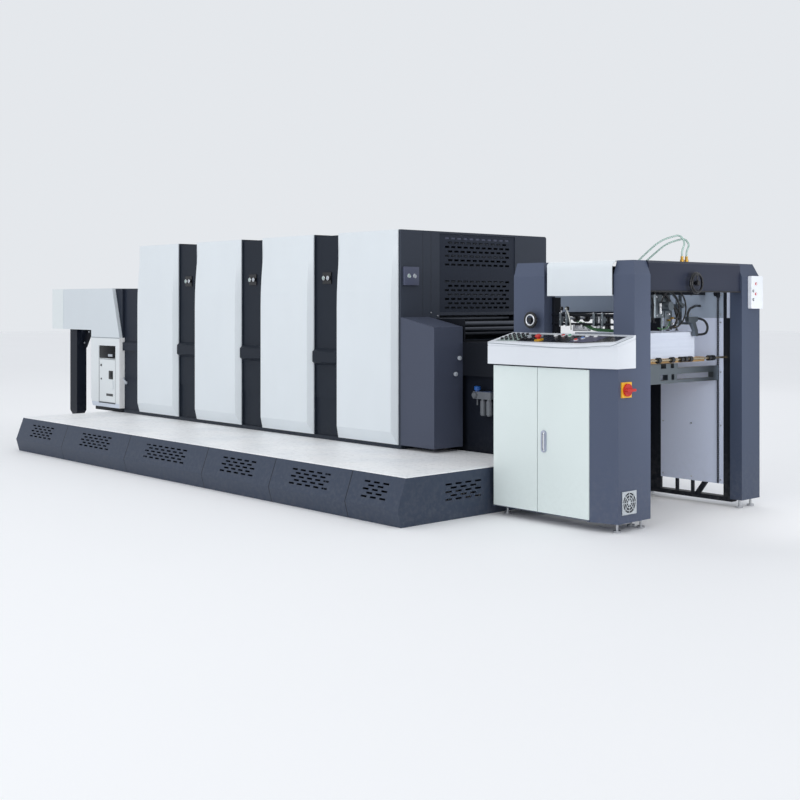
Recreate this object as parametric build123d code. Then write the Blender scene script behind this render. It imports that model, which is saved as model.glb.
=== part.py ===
import os
from math import cos, pi, radians, sin, tan

from build123d import *

# A four-colour sheet-fed offset press, in millimetres. X runs from the delivery to the
# feeder, Y from the operator side to the drive side, Z up from the floor. The sizes below
# use a working datum; the whole press is moved to the middle of its floor area at the end.

# Whole press
side_y = -311            # outer plane of the operator side
body_depth = 1592        # operator plane to drive plane
unit_top = 1900
unit_end_x = 1665        # end plane of the fourth unit
unit_count = 4
unit_pitch = 990
unit_width = 698
base_height = 335
link_length = 305        # closed section between the first unit and the delivery
link_top = 1500
sheet_metal = 6          # gauge of skirts, panels and treads
overrun = 10             # how far a cut runs past the faces that it opens
seat_gap = 0.3           # fit of a loose piece in its seat
pin_gap = 0.08           # running fit of a hinge pin

drive_y = side_y + body_depth
middle_y = side_y + body_depth / 2

# Base
toe_recess = 45          # depth of the recess along the foot of the base
toe_height = 90

# Unit bodies and their covers
edge_bevel = 12
end_frame_gauge = 16
cover_width = 682
cover_bulge = 42         # front face of a cover, ahead of its rim
cover_reveal = 0.022     # what is left of the bulge at the top edge
cover_rim = 8
cover_side_bevel = 32
cover_foot_bevel = 91
cover_bend_height = 1000  # above the cover's foot, where the front starts to lean back
cover_bend_steps = 5
lid_length = 520
lid_depth_share = 0.72   # of the body depth
lid_recess = 46
lid_rise = 40
lid_wall = 8

# Closed sections between the units
panel_setback = 10
ledge_low = 905
ledge_high = 985
ledge_reach = 26
kick_line = 627          # small step in the panels below the ledge
kick_setback = 6
between_top_drop = 14

# End frame, its window and the slotted guard in it
window_from_side = 389
window_width = 829
window_low = 1085
window_high = 1885
window_depth = 110
guard_low = 1297
guard_gauge = 4
guard_inset = 6
guard_margin = 26
guard_band = 62          # plain band between the two slotted fields
slot_length = 46
slot_height = 15
slot_pitch = 66
row_pitch = 33
crossbar_height = 24

# Rollers that show in the window
roller_radius = 34
roller_height_shares = (0.07, 0.2, 0.42, 0.55, 0.8, 0.92)   # of the window's height
journal_radius = 14
journal_length = 26

# Step along the operator side
step_start = 4190        # left end, ahead of the unit end plane
step_length = 5261
step_top = 305
step_reach = 929         # top edge, out from the operator side
knee_lead = 70           # knee of the skirt, ahead of the top edge
toe_lead = 40            # toe of the skirt, ahead of the top edge
knee_height = 108
skirt_panel_shares = (0.17, 0.205, 0.215, 0.159, 0.156, 0.095)   # of the step's length
vent_share = 0.56        # of its panel's length
vent_rows = 5
vent_slot_length = 56
vent_slot_height = 12
vent_slot_pitch = 88
vent_row_pitch = 24
end_vent_columns = 4
end_vent_from_top_edge = 423
end_vent_height = 178
bearer_count = 6

# Housing beside the fourth unit
housing_length = 348
housing_width = 284
housing_high = 1262
housing_low = 1195

# Feed table between the units and the feeder
feeder_gap = 1100        # unit end plane to the feeder
table_plate_gauge = 15
table_plate_low = 845
table_top = 1063
table_board_gauge = 20
cheek_top = 1250
cheek_gauge = 12
feed_roller_radius = 22
feed_roller_x_shares = (0.25, 0.55, 0.85)     # of the cheek's length
feed_roller_z_shares = (0.25, 0.45, 0.7)      # of the cheek's height
lower_panel_setback = 57

# Compressed-air regulator on the lower panel
regulator_x = 563        # middle, from the unit end plane
regulator_z = 714
regulator_length = 172
regulator_depth = 46
regulator_height = 52
regulator_bracket = 44
regulator_pitch = 58     # from the pressure valve to a bowl, and on to the next
bowl_radius = 22
bowl_length = 118
bowl_neck_radius = 16
bowl_neck_length = 14
drain_radius = 6
drain_length = 46
gauge_radius = 20
gauge_depth = 15
regulator_knob_radius = 24
regulator_knob_height = 36

# Feeder portal
feeder_length = 977
feeder_front = 6         # feeder columns, back from the operator side
feeder_depth = 1376
feeder_top = 1627
column_foot = 56
near_column_length = 158
near_column_depth = 158
far_column_length = 90
far_column_depth = 216
left_column_length = 264
left_column_depth = 105
left_drive_column_length = 158
column_bevel_height = 89
column_bevel = 34
header_height = 185
header_gauge = 60
header_setback = 14
side_cover_height = 217
side_cover_reach = 15
side_cover_wall = 5
side_cover_radius = 46
side_cover_return = 120
carrier_beam_depth = 50
carrier_beam_low = 1460
carrier_beam_height = 125
back_beam_gauge = 40
back_beam_low_height = 100
drive_beam_depth = 60

# Drive-side panels and guides of the feeder
panel_setback_y = 14     # behind the inner face of the far column
panel_low = 149
panel_high = 1264
guide_width = 60
left_guide_width = 162
guide_gauge = 20
sill_height = 30
sill_low = 34
prop_width = 18          # props between the sill and the panel
prop_gauge = 20
prop_lap = 40            # how far a prop reaches up behind the panel
prop_x_shares = (0.25, 0.5)      # of the panel's length
brace_width = 40         # slanting prop, along the sill
brace_x_shares = (0.54, 0.72)    # its foot and its head, of the panel's length

# Rail along the operator side, and the wheels at the tops of the lift chains
side_rail_radius = 9
side_rail_inset = 80     # from the feeder's operator side
side_rail_z = 1290
chain_wheel_radius = 20
chain_wheel_drop = 12    # its axis, below the header's foot
chain_bracket_gauge = 5
chain_bracket_drop = 40   # its foot, below the header's foot
chain_lap = 20           # of a chain or bracket on the beam that holds it

# Pile lift
sheet_width = 660
pile_low = 1005
pile_height = 168
board_gauge = 30
board_overhang_x = 10
board_overhang_y = 100
pile_from_face = 253     # feeder face to the pile's back edge
pile_from_left = 244     # feeder's left edge to the pile
pile_from_side = 329     # feeder's operator side to the pile
runner_height = 30
runner_widths = (110, 50, 44)
runner_y_shares = (-0.6, -0.19, 0.06)        # of half the sheet's width, from its middle
cross_bar_height = 39
cross_bar_width = 40
lower_bar_height = 22
lower_bar_drop = 36
spacer_widths = (56, 110, 40, 30, 56)
spacer_y_shares = (-1.43, -0.6, -0.15, 0.05, 1.43)
lift_bar_out = 51        # middle of a cross bar, beyond the pile's edge
chain_width = 14
chain_gauge = 8
chain_gap = 0.5

# Rod with the sheet stops
stop_rod_radius = 7
stop_rod_z = 1004
stop_rod_from_face = 124
stop_knob_radius = 18
stop_knob_length = 28
stop_knob_y_shares = (0.247, 0.389, 0.485, 0.53, 0.583, 0.794, 0.834)   # of the rod's length

# Suction head over the back edge of the pile
head_beam_height = 40
head_beam_width = 50
head_from_face = 317     # feeder face to the middle of the head
head_width = 190
head_length = 96
head_height = 150
head_round = 22
sucker_radius = 7
sucker_cup_radius = 15
sucker_cup_height = 14
sucker_clearance = 9     # between a cup and the pile
sucker_y_shares = (-1.15, -0.62, 0.62, 1.15)   # of the head's width
sucker_collar_radius = 13
sucker_collar_height = 18
sucker_collar_shares = (0.12, 0.54)            # up the sucker's tube
drum_radius = 30
drum_length = 64
arm_half = 13            # half the width of the arm that carries the suckers
nozzle_length = 40
presser_radius = 10      # foot that holds the pile down behind its edge
presser_out = 36
presser_pad_radius = 15
presser_pad_height = 16

# Blower behind the pile's edge on each side of the head, and its hoses
blower_out = 259         # from the head's middle
blower_gap = 12          # behind the pile's edge
blower_gauge = 28
blower_width = 108
blower_height = 130
blower_drop = 28         # its foot, below the top of the pile
blower_y_shares = (0.0, 1.0, 1.0, 0.75, 1.0, 1.0, 0.74, 0.68, 0.35, 0.0)
blower_z_shares = (1.0, 1.0, 0.8, 0.7, 0.3, 0.0, 0.0, 0.33, 0.68, 0.76)
hanger_half = 8
hanger_z_share = 0.72    # up the blower
lever_radius = 7
lever_knob_radius = 17
lever_knob_length = 30

# Hoses of the head: reach ahead of its face, along its width, and up from the arm
hose_radius = 8
hose_reach = 30
inner_hose_shares = ((-0.4, -0.37, 0.5), (-0.4, -0.37, 0.65), (-0.1, -0.25, 0.72),
                     (0.3, -0.02, 0.59), (0.47, 0.21, 0.31), (0.53, 0.53, -0.03),
                     (0.53, 0.71, -0.47), (0.4, 0.67, -0.8), (0.13, 0.42, -0.96),
                     (-0.37, 0.17, -0.925), (-0.4, 0.053, -0.925))
outer_hose_shares = ((-0.87, 0.501, -0.1), (-0.87, 0.61, -0.1), (-0.62, 0.78, -0.07),
                     (-0.58, 0.95, -0.13), (-0.55, 1.12, -0.32), (-0.75, 1.15, -0.56),
                     (-1.36, 1.15, -0.56))
lever_shares = ((-0.76, 0.32, 0.63), (0.0, 0.32, 0.63), (0.25, 0.46, 0.57), (0.24, 0.8, 0.26),
                (0.23, 1.08, 0.02))
ring_y_shares = (0.0, 0.25, 0.72, 1.0, 0.88, 0.5, 0.0)     # of the ring's reach
ring_z_shares = (0.9, 0.9, 0.8, 0.48, 0.16, 0.08, 0.08)    # of the blower's height
ring_reach = 136
tail_points = ((0, -44, 130), (0, -44, 152), (-9, -9, 183), (-26, 69, 198), (-76, 159, 201),
               (-107, 215, 201), (-107, 255.7, 201))     # from the middle of the blower's foot

# Air hoses over the header
air_hose_radius = 6
air_hose_sway = 14
air_hose_peaks = (172, 150)      # above the header
air_hose_ends = (60, 140)        # where they end along the head's beam
fitting_ys = (-112, -64)         # from the head's middle
fitting_radius = 13
fitting_height = 34
fitting_collar_share = 0.4
fitting_neck_share = 0.7
bend_share = 0.45        # of the shorter run, taken by each bend

# Operator console
console_left = 9         # from the left edge of the feeder
console_door_y = 201     # door face, out from the operator side
console_low = 56
console_high = 976
console_wall = 6
console_chamfer_length = 175
console_chamfer_depth = 50
door_gauge = 14
door_gap = 5
door_split_share = 0.478
door_top_gap = 11
hinge_pin_radius = 3
hinge_pin_depth = 8
hinge_tab_gauge = 5
door_handle_length = 124
door_handle_width = 26
door_handle_reach = 9
door_handle_z = 510
door_handle_from_split = 50
desk_front = 238         # desk front edge, out from the operator side
desk_left = 4            # beyond the feeder's left edge
desk_right = 9           # beyond the feeder face
desk_front_height = 140
desk_slope = 58          # rise of the desk's top, front to back
desk_corner_length = 233
desk_corner_depth = 66
desk_lid_line = 25       # parting line below the front top edge
desk_lid_groove = 3
desk_round_share = 0.6   # corner rounding, of the corner's length
keypad_margin = 34
keypad_depth = 3
button_radius = 10
button_height = 12
button_edge_share = 0.75         # top edge of a button, of its radius
button_side_share = 0.8          # straight side of a button, of its height
button_spot_shares = ((0.422, 0.76), (0.48, 0.78), (0.533, 0.78), (0.673, 0.78), (0.739, 0.78),
                      (0.657, 0.4), (0.677, 0.58))     # of the desk's length and depth
key_columns = 4
key_rows = 3
key_pitch = 34
key_field_shares = (0.272, 0.5)      # middle of the keys
dial_columns = 4
dial_rows = 4
dial_pitch = 39
dial_field_shares = (0.125, 0.5)     # middle of the turned dials
dial_skirt_radius = 14
dial_skirt_height = 4
dial_radius = 10
dial_height = 20
stop_button_radius = 22
stop_stem_radius = 12
stop_stem_height = 16
stop_head_height = 18
stop_base_radius = 30
stop_base_height = 6
stop_head_edge_share = 0.9
stop_head_round_share = 0.8
stop_head_top_share = 0.4
stop_button_share = (0.375, 0.3)    # of the desk's length and depth

# Main switch and fan on the console's end
switch_plate_size = 92
switch_plate_gauge = 10
switch_y = -392
switch_z = 850
switch_disc_radius = 38
switch_disc_gauge = 12
switch_grip_width = 16
switch_grip_length = 84
switch_grip_reach = 26
fan_size = 138
fan_gauge = 7
fan_z = 177
fan_y = -364
fan_ring_radii_shares = (0.2, 0.46, 0.72, 0.94)    # of half the fan's size
fan_ring_width = 5
fan_spokes = 4

# Levelling feet
foot_radius = 24
foot_disc = 12
foot_stem_radius = 8
foot_inset = 42

# Handwheels
column_wheel_radius = 55
column_wheel_rim = 9
column_wheel_x = 2947
column_wheel_z = 1256
column_wheel_reach = 40
header_wheel_radius = 62
header_wheel_rim = 6
header_wheel_y = 305
header_wheel_z = 1492
header_wheel_reach = 42
wheel_hub_radius = 16
wheel_hub_length = 24
wheel_shaft_radius = 8
wheel_spokes = 3
spoke_share = 0.6        # of the rim's radius
boss_radius = 20
boss_length = 12

# Control box on the far column
box_width = 142
box_height = 218
box_depth = 25
box_round = 12
box_low = 1328
box_button_radius = 8
box_button_height = 6
box_button_shares = ((0.4, 0.76), (0.17, 0.54), (0.38, 0.45), (0.17, 0.28))   # across and up

# Delivery
hood_length = 1446       # bottom edge, from its left end to the link section
hood_top = 1505
hood_low_left = 1094
hood_low_right = 1025
hood_reach = 46          # hood face, out from the operator side
hood_step = 563          # low part of the hood, left of the link section
hood_lean = 140          # lean of the hood's right edge
cap_length = 285
cap_radius = 58
cap_proud = 3
post_left = 349          # from the hood's left end
post_length = 146
post_depth = 106
post_bracket_length = 70
post_bracket_height = 150
post_foot_top = 262
post_foot_low = 186
post_foot_share = 0.5    # of the post's section, at the tip of its tapered foot
post_stem_radius = 14
post_disc_radius = 38
post_disc_height = 14
delivery_frame_length = 540
delivery_frame_depth = 110
cabinet_length = 566
cabinet_low = 345
cabinet_depth = 240
cabinet_foot_bevel = 70
cabinet_door_length = 317
cabinet_door_low = 49    # above the cabinet's foot
cabinet_door_high_share = 0.684
cabinet_door_gauge = 10
cabinet_window_height = 126
cabinet_window_gauge = 6
cabinet_pocket = 120
cabinet_door_left = 166
cabinet_handle_width = 30
cabinet_handle_height = 78
cabinet_handle_reach = 12
cabinet_handle_z_share = 0.42

# Small button stations
station_width = 104
station_height = 90
station_gauge = 8
station_z = 1558
station_button_radius = 15
station_button_height = 12
end_station_width = 140
end_station_height = 132
end_station_from_side = 20
end_station_z = 1496

# Places that follow from the sizes above
end_frame_x = unit_end_x - end_frame_gauge
unit_rights = [end_frame_x - unit_pitch * i for i in range(unit_count)]
first_unit_left = unit_rights[-1] - unit_width
link_left = first_unit_left - link_length
hood_x0 = link_left - hood_length
feeder_x0 = unit_end_x + feeder_gap
feeder_x1 = feeder_x0 + feeder_length
feeder_y0 = side_y + feeder_front
feeder_y1 = feeder_y0 + feeder_depth
sheet_length = feeder_length - pile_from_face - pile_from_left
hood_y0 = side_y - hood_reach
hood_y1 = drive_y + hood_reach
knee_reach = step_reach + knee_lead
toe_reach = step_reach + toe_lead
step_x0 = unit_end_x - step_start
step_x1 = step_x0 + step_length
housing_y1 = side_y + housing_width
window_y0 = side_y + window_from_side
window_y1 = window_y0 + window_width
table_y0 = housing_y1
table_y1 = drive_y - housing_width
table_board_z = table_top + table_board_gauge
near_x0 = feeder_x1 - near_column_length
near_y1 = feeder_y0 + near_column_depth
left_x1 = feeder_x0 + left_column_length
far_x0 = feeder_x1 - far_column_length
far_y0 = feeder_y1 - far_column_depth
column_shoulder = feeder_top - column_bevel_height
header_low = feeder_top - header_height
panel_y = far_y0 + panel_setback_y
pile_x1 = feeder_x1 - pile_from_face
pile_x0 = pile_x1 - sheet_length
pile_y0 = feeder_y0 + pile_from_side
pile_y1 = pile_y0 + sheet_width
pile_top = pile_low + pile_height
lift_xs = (pile_x0 - lift_bar_out, pile_x1 + lift_bar_out)
lift_y0 = feeder_y0 + left_column_depth + chain_gauge + chain_gap
lift_y1 = panel_y - chain_gauge - chain_gap
runner_low = pile_low - board_gauge - runner_height
cross_bar_low = runner_low - cross_bar_height
lower_bar_low = cross_bar_low - lower_bar_drop - lower_bar_height
head_x = feeder_x1 - head_from_face
head_y = pile_y0 + sheet_width / 2
head_face = head_x + head_length / 2
head_top = carrier_beam_low - head_beam_height
arm_z = head_top - head_height / 2
blower_x = pile_x1 + blower_gap + blower_gauge / 2
blower_low = pile_top - blower_drop
panel_x0 = feeder_x0 + left_drive_column_length + left_guide_width
panel_x1 = far_x0 - guide_width
console_x0 = feeder_x0 + console_left
console_x1 = feeder_x1 - console_chamfer_length
door_y0 = side_y - console_door_y
door_y = door_y0 + door_gauge / 2
console_y0 = door_y0 + door_gauge + door_gap
door_low = console_low + hinge_tab_gauge + door_gap
door_high = console_high - door_top_gap
hinge_xs = (console_x0 + door_gauge / 2, console_x1 - door_gap - door_gauge / 2)
desk_x0 = feeder_x0 - desk_left
desk_x1 = feeder_x1 + desk_right
desk_y0 = side_y - desk_front
desk_top = console_high + desk_front_height
cabinet_x0 = link_left - cabinet_length
cabinet_y1 = hood_y0 + cabinet_depth
cabinet_door_x = (cabinet_x0 + cabinet_door_left, cabinet_x0 + cabinet_door_left + cabinet_door_length)
cabinet_height = hood_low_right - cabinet_low
cabinet_door_z = (cabinet_low + cabinet_door_low,
                  cabinet_low + cabinet_height * cabinet_door_high_share)
cabinet_hinge = (cabinet_door_x[0] + cabinet_door_gauge / 2, hood_y0 + cabinet_door_gauge / 2)


def slab(x, y, z):
    """A block between the low and high values of x, y and z."""
    low = (Align.MIN, Align.MIN, Align.MIN)
    return Pos(x[0], y[0], z[0]) * Box(x[1] - x[0], y[1] - y[0], z[1] - z[0], align=low)


def along_x(points, x):
    """An outline of (y, z) points carried from x[0] to x[1]."""
    wire = Polyline(*[(x[0], y, z) for y, z in points], close=True)
    return extrude(make_face(wire), amount=x[1] - x[0], dir=(1, 0, 0))


def along_y(points, y):
    """An outline of (x, z) points carried from y[0] to y[1]."""
    wire = Polyline(*[(x, y[0], z) for x, z in points], close=True)
    return extrude(make_face(wire), amount=y[1] - y[0], dir=(0, 1, 0))


def along_z(points, z):
    """An outline of (x, y) points carried from z[0] to z[1]."""
    wire = Polyline(*[(x, y, z[0]) for x, y in points], close=True)
    return extrude(make_face(wire), amount=z[1] - z[0], dir=(0, 0, 1))


def rod(start, finish, radius):
    """A round bar between two points."""
    a, b = Vector(*start), Vector(*finish)
    return extrude(Plane(a, z_dir=b - a) * Circle(radius), amount=(b - a).length)


def turned(start, direction, stations):
    """A turned piece: (distance along the axis, radius) stations from its start."""
    outline = [(0, stations[0][0])] + [(r, z) for z, r in stations] + [(0, stations[-1][0])]
    face = make_face(Polyline(*[(r, 0, z) for r, z in outline], close=True))
    return Plane(Vector(*start), z_dir=Vector(*direction)) * revolve(face, Axis.Z)


def group(*shapes):
    """Several solids that don't touch, kept in one piece."""
    return Compound([solid for shape in shapes for solid in shape.solids()])


def mirrored(shape):
    """The same shape on the other side of the units' middle plane."""
    return mirror(shape, Plane((0, middle_y, 0), z_dir=(0, 1, 0)))


def slots(plane, columns, rows, pitch, row, length, height, depth):
    """Staggered rows of slots, each a short bar that is cut away; odd rows have one fewer."""
    places = []
    for j in range(rows):
        count = columns - j % 2
        for i in range(count):
            places.append(((i - (count - 1) / 2) * pitch, (j - (rows - 1) / 2) * row))
    field = Sketch() + [place * Rectangle(length, height) for place in Locations(*places)]
    return extrude(plane * field, amount=depth, both=True)


def bend_radii(points):
    """The radius of each bend of a hose, as large as its two runs allow."""
    radii = []
    for a, b, c in zip(points, points[1:], points[2:]):
        first, second = Vector(*b) - Vector(*a), Vector(*c) - Vector(*b)
        turn = radians(first.get_angle(second))
        radii.append(bend_share * min(first.length, second.length) / tan(turn / 2))
    return radii


def hose(points, radius):
    """A round hose along straight runs joined by tangent arcs."""
    path = FilletPolyline(*points, radius=bend_radii(points))
    return sweep(Plane(path @ 0, z_dir=path % 0) * Circle(radius), path)


# Base and units

def base_frame():
    """The closed base under the units, with a recess along the foot of both sides."""
    y0, y1, inner = side_y, drive_y, toe_recess
    outline = [(y0 + inner, 0), (y1 - inner, 0), (y1 - inner, toe_height), (y1, toe_height + inner),
               (y1, base_height), (y0, base_height), (y0, toe_height + inner),
               (y0 + inner, toe_height)]
    return along_x(outline, (link_left, unit_end_x))


def unit_body(right):
    """A printing unit's closed housing, with a long recess in its roof for the lid."""
    y0, y1 = side_y, drive_y
    outline = [(y0, base_height), (y1, base_height), (y1, unit_top - edge_bevel),
               (y1 - edge_bevel, unit_top), (y0, unit_top)]
    return along_x(outline, (right - unit_width, right)) - lid_space(right)


def lid_space(right):
    """The block of the roof recess of one unit."""
    middle = right - unit_width / 2
    half_x = lid_length / 2
    half_y = body_depth * lid_depth_share / 2
    return slab((middle - half_x, middle + half_x), (middle_y - half_y, middle_y + half_y),
                (unit_top - lid_recess, unit_top + overrun))


def unit_lid(right):
    """A curved lid in the roof recess of a unit."""
    middle = right - unit_width / 2
    half_x = lid_length / 2 - seat_gap
    half_y = body_depth * lid_depth_share / 2 - seat_gap
    low = unit_top - lid_recess
    crown = low + lid_rise
    y = (middle_y - half_y, middle_y + half_y)
    shoulder = low + lid_wall
    arch = Wire([
        Line((middle - half_x, y[0], low), (middle + half_x, y[0], low)),
        Line((middle + half_x, y[0], low), (middle + half_x, y[0], shoulder)),
        ThreePointArc((middle + half_x, y[0], shoulder), (middle, y[0], crown),
                      (middle - half_x, y[0], shoulder)),
        Line((middle - half_x, y[0], shoulder), (middle - half_x, y[0], low)),
    ])
    return extrude(make_face(arch), amount=y[1] - y[0], dir=(0, 1, 0))


def unit_cover(right):
    """A bulged cover: mitred bevels at its foot and sides, and a front that bends back
    until it is flush with the rim at the top."""
    middle = right - unit_width / 2
    half, front_half = cover_width / 2, cover_width / 2 - cover_side_bevel
    rim_y = side_y - cover_rim
    front_y = rim_y - cover_bulge
    bend_z = base_height + cover_bend_height

    def section(y):
        return [(middle - half, side_y), (middle + half, side_y), (middle + half, rim_y),
                (middle + front_half, y), (middle - front_half, y), (middle - half, rim_y)]

    side = [(side_y, base_height), (side_y, bend_z), (front_y, bend_z),
            (front_y, base_height + cover_foot_bevel), (rim_y, base_height)]
    cover = along_z(section(front_y), (base_height, bend_z)) & along_x(
        side, (middle - half, middle + half))
    rise = unit_top - bend_z
    levels = []
    for i in range(cover_bend_steps + 1):
        share = i / cover_bend_steps
        lean = (cover_bulge - cover_reveal) * (1 - cos(share * pi / 2))
        corners = section(front_y + lean)
        z = bend_z + rise * share
        levels.append(make_face(Polyline(*[(x, y, z) for x, y in corners], close=True)))
    for lower_face, upper_face in zip(levels, levels[1:]):
        cover += loft([lower_face, upper_face], ruled=True)
    return cover


def between_section(right):
    """The closed section on the right of a unit, with its ledge and its kick line."""
    face = side_y + panel_setback
    top = unit_top - between_top_drop
    operator = [(face, top), (face, ledge_high + ledge_reach), (side_y - ledge_reach, ledge_high),
                (side_y - ledge_reach, ledge_low), (face, ledge_low - ledge_reach),
                (face, kick_line), (face + kick_setback, kick_line), (face + kick_setback, base_height)]
    drive = [(2 * middle_y - y, z) for y, z in reversed(operator)]
    return along_x(operator + drive, (right, right + unit_pitch - unit_width))


def link_section():
    """The closed section between the first unit and the delivery."""
    y0, y1 = side_y + panel_setback, drive_y - panel_setback
    outline = [(y0, base_height), (y1, base_height), (y1, link_top), (y0, link_top)]
    body = along_x(outline, (link_left, first_unit_left))
    rail = slab((link_left, first_unit_left), (side_y - ledge_reach / 2, y0),
                (ledge_low, ledge_high))
    return body + rail + mirrored(rail)


# End of the fourth unit

def end_frame():
    """The end plate of the last unit, with its window for the slotted guard."""
    outline = [(side_y, base_height), (drive_y, base_height), (drive_y, unit_top - edge_bevel),
               (drive_y - edge_bevel, unit_top), (side_y, unit_top)]
    plate = along_x(outline, (end_frame_x, unit_end_x))
    cut = (end_frame_x - overrun, unit_end_x + overrun)
    upper = slab(cut, (window_y0, window_y1), (guard_low, window_high))
    lower = slab(cut, (window_y0, window_y1), (window_low, guard_low - crossbar_height))
    return plate - upper - lower


def window_pocket():
    """The space behind the window, cut into the last unit's body."""
    return slab((end_frame_x - window_depth, end_frame_x + overrun), (window_y0, window_y1),
                (window_low, window_high))


def slotted_guard():
    """The guard in the window: two fields of staggered slots and a plain band between."""
    x1 = unit_end_x - guard_inset
    y0, y1 = window_y0 + seat_gap, window_y1 - seat_gap
    z0, z1 = guard_low + seat_gap, window_high - seat_gap
    plate = slab((x1 - guard_gauge, x1), (y0, y1), (z0, z1))
    field = (z1 - z0 - guard_band) / 2
    columns = int((y1 - y0 - 2 * guard_margin) / slot_pitch)
    rows = int((field - guard_margin) / row_pitch)
    for low in (z0, z0 + field + guard_band):
        plane = Plane((x1, (y0 + y1) / 2, low + field / 2), x_dir=(0, 1, 0), z_dir=(1, 0, 0))
        plate -= slots(plane, columns, rows, slot_pitch, row_pitch, slot_length, slot_height,
                       guard_gauge + overrun)
    return plate


def window_rollers():
    """Rollers across the window, each held by its journals in the pocket's walls."""
    x = end_frame_x - window_depth / 2
    height = window_high - window_low
    rollers = []
    for share in roller_height_shares:
        stations = [(0, journal_radius), (journal_length, journal_radius),
                    (journal_length, roller_radius),
                    (window_width - 2 * seat_gap - journal_length, roller_radius),
                    (window_width - 2 * seat_gap - journal_length, journal_radius),
                    (window_width - 2 * seat_gap, journal_radius)]
        start = (x, window_y0 + seat_gap, window_low + height * share)
        rollers.append(turned(start, (0, 1, 0), stations))
    return rollers


# Step along the operator side

def skirt_face():
    """The plane of the skirt's upper slope: its middle, along X and up the slope."""
    y0, y1 = side_y - knee_reach, side_y - step_reach
    z0, z1 = knee_height, step_top - sheet_metal
    normal = Vector(0, z0 - z1, y1 - y0).normalized()
    return Plane((0, (y0 + y1) / 2, (z0 + z1) / 2), x_dir=(1, 0, 0), z_dir=normal)


def step_outline(back):
    """The step's end outline, from its toe over the knee to the tread's underside."""
    return [(side_y - toe_reach, 0), (side_y - knee_reach, knee_height),
            (side_y - step_reach, step_top - sheet_metal), (back, step_top - sheet_metal), (back, 0)]


def step_skirt():
    """The folded front sheet, with a vent in each panel and a seam between panels."""
    outer = step_outline(side_y)[:3]
    inner = [(y + sheet_metal, z) for y, z in reversed(outer)]
    skirt = along_x(outer + inner, (step_x0 + sheet_metal, step_x1 - sheet_metal))
    plane = skirt_face()
    left = step_x0
    for share in skirt_panel_shares:
        length = step_length * share
        middle = left + length / 2
        columns = int(length * vent_share / vent_slot_pitch)
        place = plane.offset(0)
        place.origin = Vector(middle, plane.origin.Y, plane.origin.Z)
        skirt -= slots(place, columns, vent_rows, vent_slot_pitch, vent_row_pitch,
                       vent_slot_length, vent_slot_height, sheet_metal + overrun)
        left += length
    return skirt


def step_frames():
    """The two end plates, the right one with a vent, and the bearers under the tread."""
    right = along_x(step_outline(housing_y1), (step_x1 - sheet_metal, step_x1))
    y = side_y - end_vent_from_top_edge
    plane = Plane((step_x1, y - overrun, end_vent_height), x_dir=(0, 1, 0), z_dir=(1, 0, 0))
    right -= slots(plane, end_vent_columns, vent_rows, vent_slot_pitch, vent_row_pitch,
                   vent_slot_length, vent_slot_height, sheet_metal + overrun)
    left = along_x(step_outline(side_y), (step_x0, step_x0 + sheet_metal))
    frames = [left, right]
    inner = [(y + sheet_metal, z) for y, z in step_outline(side_y)[:3]] + step_outline(side_y)[3:]
    for i in range(1, bearer_count + 1):
        x = step_x0 + step_length * i / (bearer_count + 1)
        frames.append(along_x(inner, (x, x + sheet_metal)))
    return frames


def step_tread():
    """The tread sheet, which runs on past the units under the side housing."""
    outline = [(step_x0, side_y - step_reach), (step_x1, side_y - step_reach), (step_x1, housing_y1),
               (unit_end_x, housing_y1), (unit_end_x, side_y), (step_x0, side_y)]
    return along_z(outline, (step_top - sheet_metal, step_top))


# Feed table

def side_housing():
    """The housing beside the fourth unit, with its sloping top."""
    x0, x1 = unit_end_x, unit_end_x + housing_length
    outline = [(x0, base_height), (x1, base_height), (x1, housing_low), (x0, housing_high)]
    return along_y(outline, (side_y, housing_y1))


def feed_table():
    """The board of the feed table with its two side plates and the cheeks of its rollers."""
    x = (unit_end_x, feeder_x0)
    board = slab(x, (table_y0, table_y1), (table_top, table_board_z))
    table = board
    for y0, inward in ((table_y0, 1), (table_y1, -1)):
        plate = sorted((y0, y0 + inward * table_plate_gauge))
        cheek = sorted((y0 + inward * table_plate_gauge, y0 + inward * (table_plate_gauge + cheek_gauge)))
        table += slab(x, plate, (table_plate_low, table_top))
        table += slab((unit_end_x, unit_end_x + housing_length), cheek, (table_top, cheek_top))
    return table


def feed_rollers():
    """Bars above the board, between the cheeks."""
    y0 = table_y0 + table_plate_gauge + cheek_gauge + seat_gap
    y1 = table_y1 - table_plate_gauge - cheek_gauge - seat_gap
    rollers = []
    for x_share, z_share in zip(feed_roller_x_shares, feed_roller_z_shares):
        x = unit_end_x + housing_length * x_share
        z = table_board_z + (cheek_top - table_board_z) * z_share + feed_roller_radius / 2
        rollers.append(rod((x, y0, z), (x, y1, z), feed_roller_radius))
    return rollers


def lower_panels():
    """The upright panels under the feed table."""
    x = (unit_end_x, feeder_x0)
    y0 = table_y0 + lower_panel_setback
    panel = slab(x, (y0, y0 + table_plate_gauge), (0, table_top))
    return [panel, mirrored(panel)]


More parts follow.
